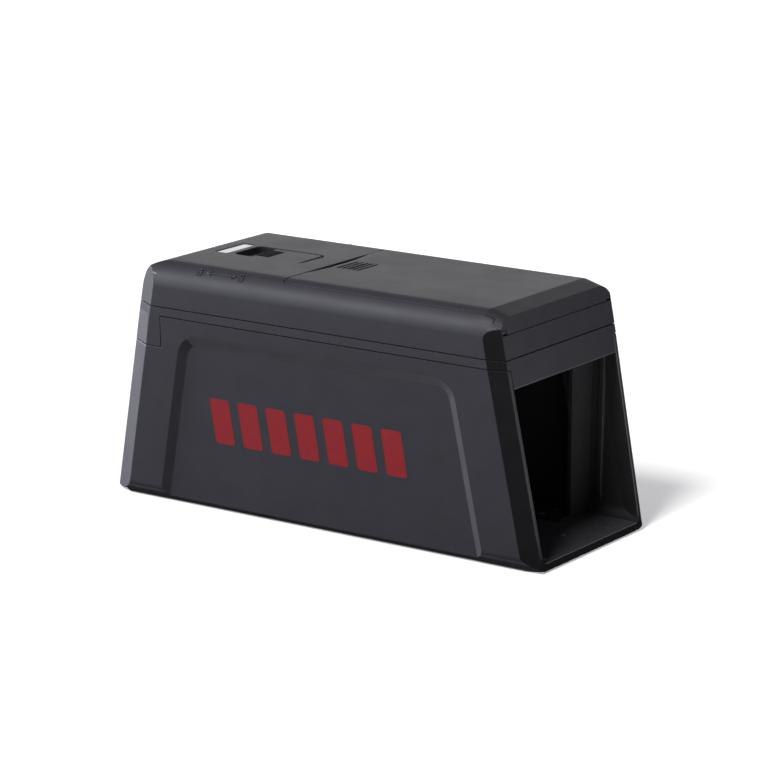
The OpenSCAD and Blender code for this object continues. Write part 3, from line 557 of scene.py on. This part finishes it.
@dataclass
class MouldedPart:
    """A moulded or pressed piece that follows its solid, with its sharp edges rounded."""

    node: str
    edge: float = 0.3 * MM
    steps: int = 2
    sharp: float = 14.0
    tries: int = 6
    facet_from: float | None = None
    cuts: Cuts = ((), (), ())
    rim_above: float = 1.0
    rim_edge: float = 0.12 * MM
    mouth_edge: float = 0.0
    seam_edge: float = 0.0
    finish: MouldedPlastic | None = None
    mouth_from: float = 95 * MM
    shortest_rim: float = 3 * MM
    seam_band: Pair = (84.5 * MM, 89.6 * MM)
    floor_band: Pair = (3 * MM, 7 * MM)
    recess_top: float = 80 * MM
    straight: float = 155.0
    least_fold: float = 0.05 * MM**2
    fold_reach: float = 1.6

    def build(self, shop: Workshop) -> Object:
        """Copies the solid, cleans its faces and rounds its edges.

        Args:
            shop: The workshop.

        Returns:
            The finished piece.
        """
        work = bmesh.new()
        work.from_mesh(shop.nodes[self.node].data)
        bmesh.ops.remove_doubles(work, verts=work.verts, dist=2e-6)
        bmesh.ops.dissolve_limit(work, angle_limit=radians(0.6), verts=work.verts, edges=work.edges)
        for axis, places in enumerate(self.cuts):
            for place in places:
                self.cut(work, axis, place)
        if self.mouth_edge:
            # The mouth's roundings get the lighter copy, a painted highlight.
            self.round_off(work, self.mouth_edges(work), self.mouth_edge, Look.RIM_HIGHLIGHT)
        if self.seam_edge:
            # The seam roundings get the darker copy, which paints shade in the seams.
            self.round_off(work, self.seam_edges(work), self.seam_edge, Look.PAINTED_SHADE)
        share = work.edges.layers.float.new("bevel_weight_edge")
        for edge in work.edges:
            rounded = any(face.material_index for face in edge.link_faces)
            if edge.is_manifold and not rounded and edge.calc_face_angle() > radians(self.sharp):
                edge[share] = self.room(edge) / self.edge
        mesh = finished(work, self.node + "_skin")
        mesh.shade_smooth()
        slot = shop.slots[self.node]
        look = self.finish.material() if self.finish else None
        obj = shop.piece(mesh, mesh.name, shop.bodies[self.node], slot, look, replaces=(self.node,))
        # Shells get copies of their finish that paint light and shade on some places.
        if self.facet_from is not None:
            self.paint_light_and_shade(mesh, shop)
        size = {"width": self.edge, "segments": self.steps}
        modify(obj, "edge_rounding", "BEVEL", limit_method="WEIGHT", use_clamp_overlap=False, **size)
        evening = {"mode": "FACE_AREA_WITH_ANGLE", "weight": 50, "thresh": 0.01}
        modify(obj, "flat_faces", "WEIGHTED_NORMAL", keep_sharp=True, **evening)
        for _ in range(self.tries):
            if not self.leave_sharp(obj):
                break
        self.crease(mesh)
        return obj

    def cut(self, work: BMesh, axis: int, place: float) -> None:
        """Splits the long faces across an axis, so that a corner shades only the face beside it.

        Args:
            work: The mesh.
            axis: 0, 1 or 2 for x, y or z.
            place: Where the cut lies along that axis.
        """
        way, point = Vector(), Vector()
        way[axis], point[axis] = 1, place
        everything = work.verts[:] + work.edges[:] + work.faces[:]
        bmesh.ops.bisect_plane(work, geom=everything, dist=0.02 * MM, plane_co=point, plane_no=way)

    def bends(self, work: BMesh) -> list[tuple[BMEdge, Vector]]:
        """Finds the edges of 60 degrees or more.

        Args:
            work: The mesh.

        Returns:
            Each edge with its middle.
        """
        return [
            (edge, (edge.verts[0].co + edge.verts[1].co) / 2)
            for edge in work.edges
            if edge.is_manifold and edge.calc_face_angle() >= radians(60)
        ]

    def mouth_edges(self, work: BMesh) -> list[BMEdge]:
        """Finds the edges round the mouth, rounded wider than the others and given a painted highlight.

        Args:
            work: The mesh.

        Returns:
            The edges.
        """
        edges = []
        for edge, middle in self.bends(work):
            end, inner = sorted(edge.link_faces, key=lambda face: -face.normal.x)
            inward = inner.normal.y * copysign(1, middle.y) < -0.7 and abs(middle.y) > 20 * MM
            above = inner.normal.z < -0.7 and middle.z > 60 * MM
            front = end.normal.x > FLAT and middle.x > self.mouth_from
            if front and edge.calc_length() > self.shortest_rim and (inward or above):
                edges.append(edge)
        return edges

    def seam_edges(self, work: BMesh) -> list[BMEdge]:
        """Finds the outer edges along the two seams, which stay in shade.

        Args:
            work: The mesh.

        Returns:
            The edges.
        """
        edges = []
        low, high = self.seam_band
        for edge, middle in self.bends(work):
            wall, flat = sorted(edge.link_faces, key=lambda face: abs(face.normal.z))
            sideways = wall.normal.y * copysign(1, middle.y) > 0.5 and abs(middle.y) > 40 * MM
            endways = wall.normal.x * copysign(1, middle.x) > 0.5 and abs(middle.x) > 90 * MM
            if abs(flat.normal.z) > FLAT and low < middle.z < high and (sideways or endways):
                edges.append(edge)
        return edges

    def round_off(
        self, work: BMesh, edges: list[BMEdge], width: float, look: Look
    ) -> None:
        """Rounds edges with a finish of their own: painted highlight round the mouth, painted shade in the
        seams.

        Args:
            work: The mesh.
            edges: The edges.
            width: Width of the rounding.
            look: Finish of the rounding, a copy of the shell's finish that paints light and shade.
        """
        how = {"offset_type": "OFFSET", "segments": 2, "profile": 0.5, "affect": "EDGES"}
        bmesh.ops.bevel(work, geom=edges, offset=width, clamp_overlap=False, material=look, **how)
        log.info("%s: %d edges rounded by %.2f mm", self.node, len(edges), width / MM)

    def crease(self, mesh: Mesh) -> None:
        """Marks the corners without a rounding as sharp, so that flat faces stay flat.

        Args:
            mesh: Mesh of the piece.
        """
        work = bmesh.new()
        work.from_mesh(mesh)
        share = work.edges.layers.float["bevel_weight_edge"]
        for edge in work.edges:
            corner = not edge.is_manifold or edge.calc_face_angle() > radians(self.sharp)
            edge.smooth = not (corner and edge[share] < 0.05)
        work.to_mesh(mesh)
        work.free()

    def leave_sharp(self, obj: Object) -> int:
        """Takes the rounding off every edge beside a face that it would fold.

        Args:
            obj: The piece.

        Returns:
            Number of folded faces.
        """
        bpy.context.view_layer.update()
        shape = obj.evaluated_get(bpy.context.evaluated_depsgraph_get()).to_mesh()
        shape.calc_loop_triangles()
        folded = {
            tri.polygon_index
            for tri in shape.loop_triangles
            if tri.area > self.least_fold and tri.normal.dot(shape.polygons[tri.polygon_index].normal) < 0
        }
        places = [shape.vertices[i].co.copy() for face in folded for i in shape.polygons[face].vertices]
        tree = KDTree(len(places))
        for index, place in enumerate(places):
            tree.insert(place, index)
        tree.balance()
        if folded:
            near = [tree.find(vertex.co)[2] < self.fold_reach * self.edge for vertex in obj.data.vertices]
            weights = obj.data.attributes["bevel_weight_edge"].data
            for edge in obj.data.edges:
                if near[edge.vertices[0]] and near[edge.vertices[1]]:
                    weights[edge.index].value = 0
            obj.data.update_tag()
            log.info("%s: %d faces keep sharp edges", obj.name, len(folded))
        return len(folded)

    def room(self, edge: BMEdge) -> float:
        """Finds how far an edge can be rounded before it meets the next corner.

        Args:
            edge: The edge.

        Returns:
            The width of its rounding.
        """
        width = self.edge
        if min(vert.co.z for vert in edge.verts) > self.rim_above:
            width = min(width, self.rim_edge)
        for loop in edge.link_loops:
            after = loop.link_loop_next
            for corner, neighbour in ((loop, loop.link_loop_prev.edge), (after, after.edge)):
                if corner.calc_angle() < radians(self.straight):
                    width = min(width, 0.4 * neighbour.calc_length())
        return width

    def paint_light_and_shade(self, mesh: Mesh, shop: Workshop) -> None:
        """Gives places of a shell copies of its finish that paint light and shade, in the order of Look.

        Args:
            mesh: Mesh of the piece.
            shop: The workshop.
        """
        for material in shop.places:
            mesh.materials.append(material)
        low, high = self.floor_band
        for face in mesh.polygons:
            if face.material_index:
                continue
            normal, center = face.normal, face.center
            facing = normal.y * copysign(1, center.y)
            leaning = normal.z < -0.4 or normal.x < -0.25
            look = Look.SHELL
            # Front facets of the mouth end: the darker copy is painted shade on them.
            if facing > 0.15 and center.x > self.facet_from and 0.25 < normal.x < 0.5:
                look = Look.PAINTED_SHADE
            # Inward faces: the slightly darker copy is painted shade inside the tunnel.
            elif facing < -0.25:
                look = Look.INNER_WALL_SHADE
            # End face of the tunnel floor: the darker copy is painted shade on it.
            elif normal.x > FLAT and center.z < high:
                look = Look.PAINTED_SHADE
            # Recess slopes of the side panels: the lighter copy is painted light on them.
            elif facing > 0.3 and leaning and low < center.z < self.recess_top:
                look = Look.RECESS_SLOPE
            # The tunnel floor: the lighter copy is its painted sheen.
            elif normal.z > FLAT and low < center.z < high:
                # The strip in front of FLOOR_RIM is a painted highlight along the floor's lip.
                look = Look.FLOOR_LIP if center.x > FLOOR_RIM else Look.TUNNEL_FLOOR_SHEEN
            face.material_index = look


@dataclass
class Group:
    """Pieces that follow their solids."""

    parts: list[MouldedPart]

    def build(self, shop: Workshop) -> None:
        """Builds every piece."""
        for part in self.parts:
            part.build(shop)


@dataclass
class Shells(Group):
    """The plastic pieces of the outside."""

    parts: list[MouldedPart] = field(
        default_factory=lambda: [
            MouldedPart(
                "base_shell",
                edge=0.35 * MM,
                facet_from=88 * MM,
                cuts=((-0.098, -0.06, -0.02, 0.02, 0.06, 0.094, FLOOR_RIM), (), (0.014, 0.04, 0.07)),
                rim_above=0.08,
                mouth_edge=0.4 * MM,
                seam_edge=0.15 * MM,
            ),
            MouldedPart(
                "mid_frame",
                edge=0.12 * MM,
                facet_from=86 * MM,
                cuts=((-0.09, -0.05, 0.0, 0.05, 0.083), (), ()),
                mouth_edge=0.5 * MM,
                seam_edge=0.12 * MM,
            ),
            MouldedPart(
                "upper_housing",
                edge=0.22 * MM,
                facet_from=80 * MM,
                cuts=((-0.0825, -0.05, -0.01, 0.03, 0.06, 0.0815), (-0.03, 0.03), ()),
                seam_edge=0.15 * MM,
            ),
            MouldedPart("lid", 0.3 * MM, cuts=((-0.012, 0.03, 0.06, 0.078), (-0.03, 0.03), ())),
            MouldedPart("battery_door", 0.25 * MM),
            MouldedPart("lock_slider", 0.25 * MM),
            MouldedPart("slider_grip", 0.2 * MM),
            MouldedPart("status_window", 0.2 * MM),
            MouldedPart("front_diverter", 0.4 * MM),
            MouldedPart("rear_diverter", 0.4 * MM),
        ]
    )


@dataclass
class Works(Group):
    """The mechanism, the electronics and the metal parts, which follow their solids."""

    parts: list[MouldedPart] = field(
        default_factory=lambda: [
            MouldedPart("latch_carriage", 0.2 * MM),
            MouldedPart("switch_knob", 0.15 * MM),
            MouldedPart("interlock_switch", 0.15 * MM),
            MouldedPart("rear_bulkhead", 0.3 * MM),
            # The rivet heads take a lighter colour that paints their glints.
            MouldedPart("floor_rivets", 0.12 * MM, finish=RIVET_GLINT),
            MouldedPart("battery_tray", 0.3 * MM),
            MouldedPart("front_plate", 0.12 * MM),
            MouldedPart("middle_plate", 0.12 * MM),
            MouldedPart("rear_plate", 0.12 * MM),
            MouldedPart("plate_leads", 0.06 * MM),
            MouldedPart("plate_screws", 0.1 * MM),
            MouldedPart("housing_screws", 0.12 * MM),
            MouldedPart("hinge_pins", 0.08 * MM),
            MouldedPart("contact_strips", 0.06 * MM),
            MouldedPart("main_board", 0.1 * MM),
            MouldedPart("transformer_core", 0.3 * MM),
            MouldedPart("transformer_coil", 0.5 * MM),
            MouldedPart("capacitors", 0.6 * MM, steps=3),
            MouldedPart("film_capacitor", 1.0 * MM, steps=3),
            MouldedPart("control_chip", 0.12 * MM),
            MouldedPart("status_leds", 0.15 * MM),
            MouldedPart("rubber_feet", 0.5 * MM, steps=3),
        ]
    )


@dataclass
class DrivenScrews:
    """Screws whose heads get a cross recess."""

    node: str
    places: list[Pair]
    head_z: float
    reach: float
    slot_width: float = 0.5 * MM
    depth: float = 0.6 * MM
    edge: float = 0.1 * MM

    def cutter(self) -> Object:
        """Builds the crosses that are cut out of the heads.

        Returns:
            The cutter.
        """
        work = bmesh.new()
        for x, y in self.places:
            ring = []
            w, r = self.slot_width / 2, self.reach
            for turn in range(4):
                c, s = cos(turn * pi / 2), sin(turn * pi / 2)
                ring += [(x + c * u - s * v, y + s * u + c * v) for u, v in ((w, -w), (r, -w), (r, w))]
            lower = [work.verts.new((u, v, self.head_z - self.depth)) for u, v in ring]
            upper = [work.verts.new((u, v, self.head_z + self.depth)) for u, v in ring]
            work.faces.new(lower[::-1])
            work.faces.new(upper)
            for i, j in zip(range(12), [*range(1, 12), 0]):
                work.faces.new((lower[i], lower[j], upper[j], upper[i]))
        bmesh.ops.recalc_face_normals(work, faces=work.faces)
        return placed("crosses", finished(work, "crosses"))

    def build(self, shop: Workshop) -> None:
        """Cuts the recesses and rounds the heads.

        Args:
            shop: The workshop.
        """
        blank = placed("blank", shop.nodes[self.node].data.copy())
        cutter = self.cutter()
        modify(blank, "recess", "BOOLEAN", object=cutter, operation="DIFFERENCE", solver="EXACT")
        bpy.context.view_layer.update()
        shape = bpy.data.meshes.new_from_object(blank.evaluated_get(bpy.context.evaluated_depsgraph_get()))
        bpy.data.objects.remove(blank)
        bpy.data.objects.remove(cutter)
        shape.shade_smooth()
        slot = shop.slots[self.node]
        obj = shop.piece(shape, self.node + "_cut", shop.bodies[self.node], slot, replaces=(self.node,))
        where = {"limit_method": "ANGLE", "angle_limit": radians(40)}
        modify(obj, "edge_rounding", "BEVEL", width=self.edge, segments=2, **where)
        modify(obj, "flat_faces", "WEIGHTED_NORMAL", keep_sharp=True)


@dataclass
class ContactSprings:
    """Four conical springs of round wire, each by its start and end along x and its y."""

    seats: list[Point] = field(
        default_factory=lambda: [
            (-93.0 * MM, -89.6 * MM, -22.2 * MM),
            (-93.0 * MM, -89.6 * MM, 7.4 * MM),
            (-39.0 * MM, -42.4 * MM, -7.4 * MM),
            (-39.0 * MM, -42.4 * MM, 22.2 * MM),
        ]
    )
    axis_z: float = 11.55 * MM
    wide: float = 4.1 * MM
    narrow: float = 2.6 * MM
    wire: float = 0.32 * MM
    turns: float = 3.5
    flat_turns: float = 0.75
    points_a_turn: int = 28

    def build(self, shop: Workshop) -> None:
        """Winds the springs.

        Args:
            shop: The workshop.
        """
        curve = round_wire("springs", self.wire, 3)
        count = int(self.turns * self.points_a_turn)
        for start, end, y in self.seats:
            way = copysign(1, end - start)
            first, last = start + way * self.wire, end - way * self.wire
            spline = curve.splines.new("POLY")
            spline.points.add(count)
            for index, point in enumerate(spline.points):
                share = index / count
                turn = 2 * pi * index / self.points_a_turn
                free_turns = self.turns - 2 * self.flat_turns
                climb = min(max((share * self.turns - self.flat_turns) / free_turns, 0), 1)
                radius = self.wide + (self.narrow - self.wide) * share
                x = first + (last - first) * climb
                point.co = (x, y + radius * cos(turn), self.axis_z + radius * sin(turn), 1)
        mesh = bpy.data.meshes.new_from_object(bpy.data.objects.new("springs", curve))
        mesh.shade_smooth()
        slot = shop.slots["contact_springs"]
        shop.piece(mesh, "spring_coils", CASE, slot, replaces=("contact_springs",))


@dataclass
class BatteryCells:
    """Four AA cells with a pale band at the plus end, each by its start, its y and its way along x."""

    length: float = 49.5 * MM
    radius: float = 7.25 * MM
    nub_radius: float = 2.75 * MM
    nub: float = 1.0 * MM
    band: float = 9.0 * MM
    axis_z: float = 11.55 * MM
    facets: int = 48
    seats: list[Point] = field(
        default_factory=lambda: [
            (-89.5 * MM, -22.2 * MM, 1),
            (-42.5 * MM, -7.4 * MM, -1),
            (-89.5 * MM, 7.4 * MM, 1),
            (-42.5 * MM, 22.2 * MM, -1),
        ]
    )

    def profile(self) -> list[tuple[float, float, Wrap]]:
        """Lists the points of the outline from the minus end to the plus end.

        Returns:
            Place along the axis, radius and finish up to the next point.
        """
        r, end = self.radius, self.length
        return [
            (0.1 * MM, 0.0, Wrap.STEEL),
            (0.0, 0.4 * MM, Wrap.STEEL),
            (0.0, 5.3 * MM, Wrap.STEEL),
            (0.35 * MM, 5.6 * MM, Wrap.STEEL),
            (0.3 * MM, 6.1 * MM, Wrap.SLEEVE),
            (0.05 * MM, 6.5 * MM, Wrap.SLEEVE),
            (0.2 * MM, r - 0.3 * MM, Wrap.SLEEVE),
            (0.7 * MM, r, Wrap.SLEEVE),
            (end - self.band, r, Wrap.BAND),
            (end - 1.0 * MM, r, Wrap.BAND),
            (end - 0.35 * MM, r - 0.25 * MM, Wrap.BAND),
            (end - 0.05 * MM, r - 0.9 * MM, Wrap.BAND),
            (end - 0.3 * MM, 6.0 * MM, Wrap.STEEL),
            (end - 0.3 * MM, self.nub_radius + 0.3 * MM, Wrap.STEEL),
            (end - 0.1 * MM, self.nub_radius, Wrap.STEEL),
            (end + self.nub - 0.3 * MM, self.nub_radius, Wrap.STEEL),
            (end + self.nub, self.nub_radius - 0.3 * MM, Wrap.STEEL),
            (end + self.nub, 0.0, Wrap.STEEL),
        ]

    def build(self, shop: Workshop) -> None:
        """Turns the cells.

        Args:
            shop: The workshop.
        """
        work = bmesh.new()
        outline = self.profile()
        for start, y, way in self.seats:
            rings = []
            for along, radius, _ in outline:
                x = start + way * along
                spokes = self.facets if radius else 1
                turns = [2 * pi * i / spokes for i in range(spokes)]
                spots = [(x, y + radius * cos(a), self.axis_z + radius * sin(a)) for a in turns]
                rings.append([work.verts.new(spot) for spot in spots])
            for (_, _, look), near, far in zip(outline, rings, rings[1:]):
                for i in range(self.facets):
                    j = (i + 1) % self.facets
                    n, f = len(near), len(far)
                    ends = dict.fromkeys([near[i % n], near[j % n], far[j % f], far[i % f]])
                    face = work.faces.new(list(ends))
                    face.material_index = look
        bmesh.ops.recalc_face_normals(work, faces=work.faces)
        mesh = finished(work, "cells")
        mesh.shade_smooth()
        slot = shop.slots["battery_cells"]
        obj = shop.piece(mesh, "cell_set", CASE, slot, replaces=("battery_cells",))
        mesh.materials.append(shop.materials["steel"])
        mesh.materials.append(CELL_BAND.material())
        modify(obj, "edge_split", "EDGE_SPLIT", split_angle=radians(38))


class Skin:
    """The outside of a solid, on which marks are laid."""

    def __init__(self, obj: Object) -> None:
        """Reads the faces of a solid.

        Args:
            obj: The solid.
        """
        mesh = obj.data
        points = [v.co.copy() for v in mesh.vertices]
        faces = [tuple(face.vertices) for face in mesh.polygons]
        self.tree = BVHTree.FromPolygons(points, faces)

    def drop(self, start: Vector, way: Vector) -> tuple[Vector, Vector]:
        """Finds where a straight way from a point meets the outside.

        Args:
            start: The point.
            way: Direction of the way.

        Returns:
            The place and the outward normal there.
        """
        place, normal, _, _ = self.tree.ray_cast(start, way)
        if place is None:
            raise ValueError(f"nothing below {start}")
        return place, normal


@dataclass
class LockSymbols:
    """Raised line symbols on both rear shoulders: a closed padlock, a double arrow and an open padlock."""

    closed_x: float = -62.4 * MM
    open_x: float = -39.9 * MM
    arrow: Pair = (-58.6 * MM, -43.0 * MM)
    shoulder_axis: Pair = (34.8 * MM, 98.1 * MM)
    tilt: float = 37.0
    line: float = 0.3 * MM
    body_size: Pair = (2.1 * MM, 1.9 * MM)
    shackle: float = 0.75 * MM
    head: float = 1.2 * MM

    def padlock(self, x: float, lifted: float) -> list[list[Pair]]:
        """Draws a padlock as lines in the plane of x and height.

        Args:
            x: Middle of the padlock.
            lifted: How far the free leg of the shackle stands clear of the body.

        Returns:
            The lines.
        """
        wide, high = self.body_size
        low, top = -high, 0.0
        left, right = x - wide / 2, x + wide / 2
        body = [(left, low), (right, low), (right, top), (left, top), (left, low)]
        fill = [(left, low / 2), (right, low / 2)]
        rise = 0.7 * MM + lifted
        bow = [
            (x - self.shackle * cos(turn), rise + self.shackle * sin(turn))
            for turn in [pi * i / 8 for i in range(9)]
        ]
        return [body, fill, [(x - self.shackle, top), *bow, (x + self.shackle, top + lifted * 1.4)]]

    def double_arrow(self) -> list[list[Pair]]:
        """Draws the double arrow.

        Returns:
            Its lines.
        """
        start, end = self.arrow
        lines = [[(start, 0.0), (end, 0.0)]]
        for tip, way in ((start, 1), (end, -1)):
            back = tip + way * 1.8 * self.head
            lines.append([(back, self.head), (tip, 0.0), (back, -self.head), (back, self.head)])
        return lines

    def build(self, shop: Workshop) -> None:
        """Lays the symbols on both shoulders.

        Args:
            shop: The workshop.
        """
        skin = Skin(shop.nodes["upper_housing"])
        lines = self.padlock(self.closed_x, 0.0) + self.double_arrow() + self.padlock(self.open_x, 0.45 * MM)
        for side in Side:
            curve = round_wire("symbols", self.line, 2)
            axis_y, axis_z = self.shoulder_axis
            tilt = radians(self.tilt)
            out = Vector((0, side.value * sin(tilt), cos(tilt)))
            climb = Vector((0, -side.value * cos(tilt), sin(tilt)))
            for line in lines:
                places = []
                for (u0, v0), (u1, v1) in zip(line, line[1:]):
                    steps = max(1, ceil(hypot(u1 - u0, v1 - v0) / (0.8 * MM)))
                    places += [(u0 + (u1 - u0) * i / steps, v0 + (v1 - v0) * i / steps) for i in range(steps)]
                places.append(line[-1])
                spline = curve.splines.new("POLY")
                spline.points.add(len(places) - 1)
                for point, (u, v) in zip(spline.points, places):
                    start = Vector((u, side.value * axis_y, axis_z)) + out * 0.02 + climb * v
                    place, normal = skin.drop(start, -out)
                    point.co = (*(place + normal * self.line * 0.5), 1)
            mesh = bpy.data.meshes.new_from_object(bpy.data.objects.new("symbols", curve))
            mesh.shade_smooth()
            name = f"lock_symbols_{side.name.lower()}"
            shop.piece(mesh, name, CASE, "slider_plastic", shop.symbol)


@dataclass
class PrintedBars:
    """A row of plain slanted bars, pad-printed in red on each side panel."""

    count: int = 7
    start_x: float = -55.5 * MM
    end_x: float = 46.5 * MM
    low_z: float = 31.0 * MM
    high_z: float = 51.0 * MM
    fill: float = 0.68
    slant: float = 3.2 * MM
    film: float = 0.05 * MM
    corner: float = 1.2 * MM

    def outline(self, low_x: float, high_x: float) -> list[Pair]:
        """Draws one bar with round corners.

        Args:
            low_x: Rear end of its lower edge.
            high_x: Front end of its lower edge.

        Returns:
            Its points in x and z.
        """
        r = self.corner
        centres = [
            (low_x + r, self.low_z + r, 180),
            (high_x - r, self.low_z + r, 270),
            (high_x - r, self.high_z - r, 0),
            (low_x + r, self.high_z - r, 90),
        ]
        points = []
        for x, z, start in centres:
            for i in range(7):
                turn = radians(start + 15 * i)
                points.append((x + r * cos(turn), z + r * sin(turn)))
        middle = (self.low_z + self.high_z) / 2
        rate = self.slant / (self.high_z - self.low_z)
        return [(x - (z - middle) * rate, z) for x, z in points]

    def build(self, shop: Workshop) -> None:
        """Prints the bars on both sides.

        Args:
            shop: The workshop.
        """
        skin = Skin(shop.nodes["base_shell"])
        pitch = (self.end_x - self.start_x) / (self.count - 1 + self.fill)
        for side in Side:
            work = bmesh.new()
            for index in range(self.count):
                low_x = self.start_x + index * pitch
                ring = []
                for x, z in self.outline(low_x, low_x + pitch * self.fill):
                    place, normal = skin.drop(Vector((x, side.value * 0.08, z)), Vector((0, -side.value, 0)))
                    ring.append((place, normal))
                top = [work.verts.new(place + normal * self.film) for place, normal in ring]
                foot = [work.verts.new(place - normal * self.film) for place, normal in ring]
                work.faces.new(top)
                for i in range(len(top)):
                    j = (i + 1) % len(top)
                    work.faces.new((top[j], top[i], foot[i], foot[j]))
            bmesh.ops.recalc_face_normals(work, faces=work.faces)
            name = f"red_bars_{side.name.lower()}"
            shop.piece(finished(work, "bars"), name, CASE, "capacitor_red", shop.red_ink)


@dataclass(frozen=True)
class Lamp:
    """One soft rectangular lamp."""

    name: str
    place: Point
    size: Pair
    power: float
    colour: Colour = (1.0, 1.0, 1.0)
    aim: Point = (0, 0, 0.05)
    on_floor: bool = False
    on_trap: bool = True
    past_trap: bool = False

    def hang(self, floor: Object, patch: Object) -> None:
        """Hangs the lamp.

        Args:
            floor: The floor, which only some lamps light.
            patch: The patch of floor under the trap.
        """
        data = bpy.data.lights.new(self.name, "AREA")
        data.shape = "RECTANGLE"
        data.size, data.size_y = self.size
        data.energy = self.power
        data.color = self.colour
        obj = placed(self.name, data)
        ray = Vector(self.aim) - Vector(self.place)
        turn = ray.to_track_quat("-Z", "Y").to_matrix()
        obj.matrix_world = Matrix.Translation(self.place) @ turn.to_4x4()
        obj.visible_camera = False
        if not (self.on_floor and self.on_trap):
            named = bpy.data.collections.new(self.name + "_floor")
            named.objects.link(floor)
            obj.light_linking.receiver_collection = named
            if self.on_trap:
                named.objects.link(patch)
                for entry in named.collection_objects:
                    entry.light_linking.link_state = "EXCLUDE"
        if self.past_trap:
            clear = bpy.data.collections.new(self.name + "_clear")
            clear.objects.link(floor)
            obj.light_linking.blocker_collection = clear
        log.info("lamp %s hangs at %s", self.name, self.place)


@dataclass
class Studio:
    """A pale floor, soft light and the camera."""

    camera_at: Point = (0.8132, -1.1505, 0.4105)
    azimuth: float = 35.0354
    elevation: float = 14.0964
    roll: float = 0.0138
    lens: float = 155.09
    floor_half: Outline = ((6.0, 6.0), (-6.0, 6.0))
    shade_half: Outline = ((0.1138, 0.0365), (0.107, 0.0408), (-0.104, 0.0408), (-0.1138, 0.0335))
    sky: float = 0.11
    lamps: list[Lamp] = field(
        default_factory=lambda: [
            Lamp("key", (0, -1.46, 2.03), (0.6, 0.6), 33, on_floor=True),
            Lamp("horizon", (-0.95, 1.95, 0.55), (2.4, 0.5), 7.8, aim=(0, 0, 0.1)),
            Lamp("low_left", (-2.0, -0.2, 0.35), (0.8, 0.5), 27, (0.95, 0.96, 1.08)),
            Lamp("mouth", (1.7, 0.15, 0.2), (0.5, 0.3), 1.0),
            Lamp("shoulder", (-0.9, -1.0, 0.9), (0.6, 0.35), 8, (0.95, 0.96, 1.08)),
            Lamp("near_fill", (-0.9, -0.85, 0.2), (0.5, 0.35), 2.4, (0.95, 0.96, 1.08)),
            Lamp("front_card", (0.3, -0.08, 0.004), (0.25, 0.3), 0.85, aim=(0.3, -0.08, 1)),
            Lamp("floor_key", (0, -1.46, 2.03), (0.45, 0.45), 15, on_floor=True, on_trap=False),
            Lamp(
                "floor_light", (-1.3, 1.9, 1.3), (2.4, 2.4), 90,
                aim=(-1.3, 1.9, 0), on_floor=True, on_trap=False, past_trap=True,
            ),
        ]
    )

    def camera(self) -> None:
        """Places the camera and makes it the scene's own."""
        data = bpy.data.cameras.new("camera")
        data.lens = self.lens
        data.sensor_width = 36.0
        data.clip_start, data.clip_end = 0.05, 60.0
        obj = placed("camera", data)
        a, e = radians(self.azimuth), radians(self.elevation)
        ahead = Vector((-sin(a) * cos(e), cos(a) * cos(e), -sin(e)))
        turn = ahead.to_track_quat("-Z", "Y").to_matrix() @ Matrix.Rotation(radians(self.roll), 3, "Z")
        obj.matrix_world = Matrix.Translation(self.camera_at) @ turn.to_4x4()
        bpy.context.scene.camera = obj

    def ground(self, name: str, half: Outline, height: float, material: Material) -> Object:
        """Lays one flat piece of floor.

        Args:
            name: Name of the piece.
            half: The half of its outline at y > 0, from the front to the rear.
            height: Its height.
            material: Its material.

        Returns:
            The piece.
        """
        work = bmesh.new()
        outline = [*half, *[(x, -y) for x, y in reversed(half)]]
        work.faces.new([work.verts.new((x, y, 0)) for x, y in outline])
        mesh = finished(work, name)
        mesh.materials.append(material)
        obj = placed(name, mesh)
        obj.location.z = height
        obj.visible_glossy = False
        obj.visible_diffuse = False
        return obj

    def floors(self) -> list[Object]:
        """Lays the pale floor and the patch in the trap's own shade.

        Returns:
            The floor and the patch.
        """
        wiring = Wiring("pale_floor", Specular_IOR_Level=0.1, Roughness=0.9)
        wiring.mottle(wiring.noise(0.4), (0.93, 0.93, 0.93), (0.95, 0.95, 0.95))
        return [
            self.ground("floor", self.floor_half, 0.0, wiring.material),
            self.ground("floor_shade", self.shade_half, 0.05 * MM, wiring.material),
        ]

    def build(self) -> None:
        """Builds the whole studio."""
        floor, patch = self.floors()
        self.camera()
        for lamp in self.lamps:
            lamp.hang(floor, patch)
        world = bpy.data.worlds.new("studio")
        world.use_nodes = True
        world.node_tree.nodes["Background"].inputs["Color"].default_value = (0.94, 0.95, 1.06, 1)
        world.node_tree.nodes["Background"].inputs["Strength"].default_value = self.sky
        bpy.context.scene.world = world
        bpy.context.scene.view_settings.view_transform = "Standard"
        log.info("studio is set")


def main() -> None:
    """Builds the trap and its studio."""
    logging.basicConfig(level=logging.INFO, format="%(name)s: %(message)s")
    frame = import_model()
    bpy.context.view_layer.update()
    shop = Workshop(frame)
    board = [(x, y) for x in (-0.0345, -0.079) for y in (-0.0255, 0.0255)]
    for group in (
        Shells(),
        Works(),
        DrivenScrews("bulkhead_screws", [(-0.0219, -0.02), (-0.0219, 0.02)], 6.6 * MM, 1.2 * MM),
        DrivenScrews("board_screws", board, 86.8 * MM, 1.35 * MM),
        DrivenScrews("carriage_screws", [(-0.048, 0), (-0.044, 0)], 100.55 * MM, 1.0 * MM),
        ContactSprings(),
        BatteryCells(),
        LockSymbols(),
        PrintedBars(),
    ):
        group.build(shop)
    shop.paint_rest()
    Studio().build()
    bpy.context.view_layer.update()


if __name__ == "__main__":
    main()
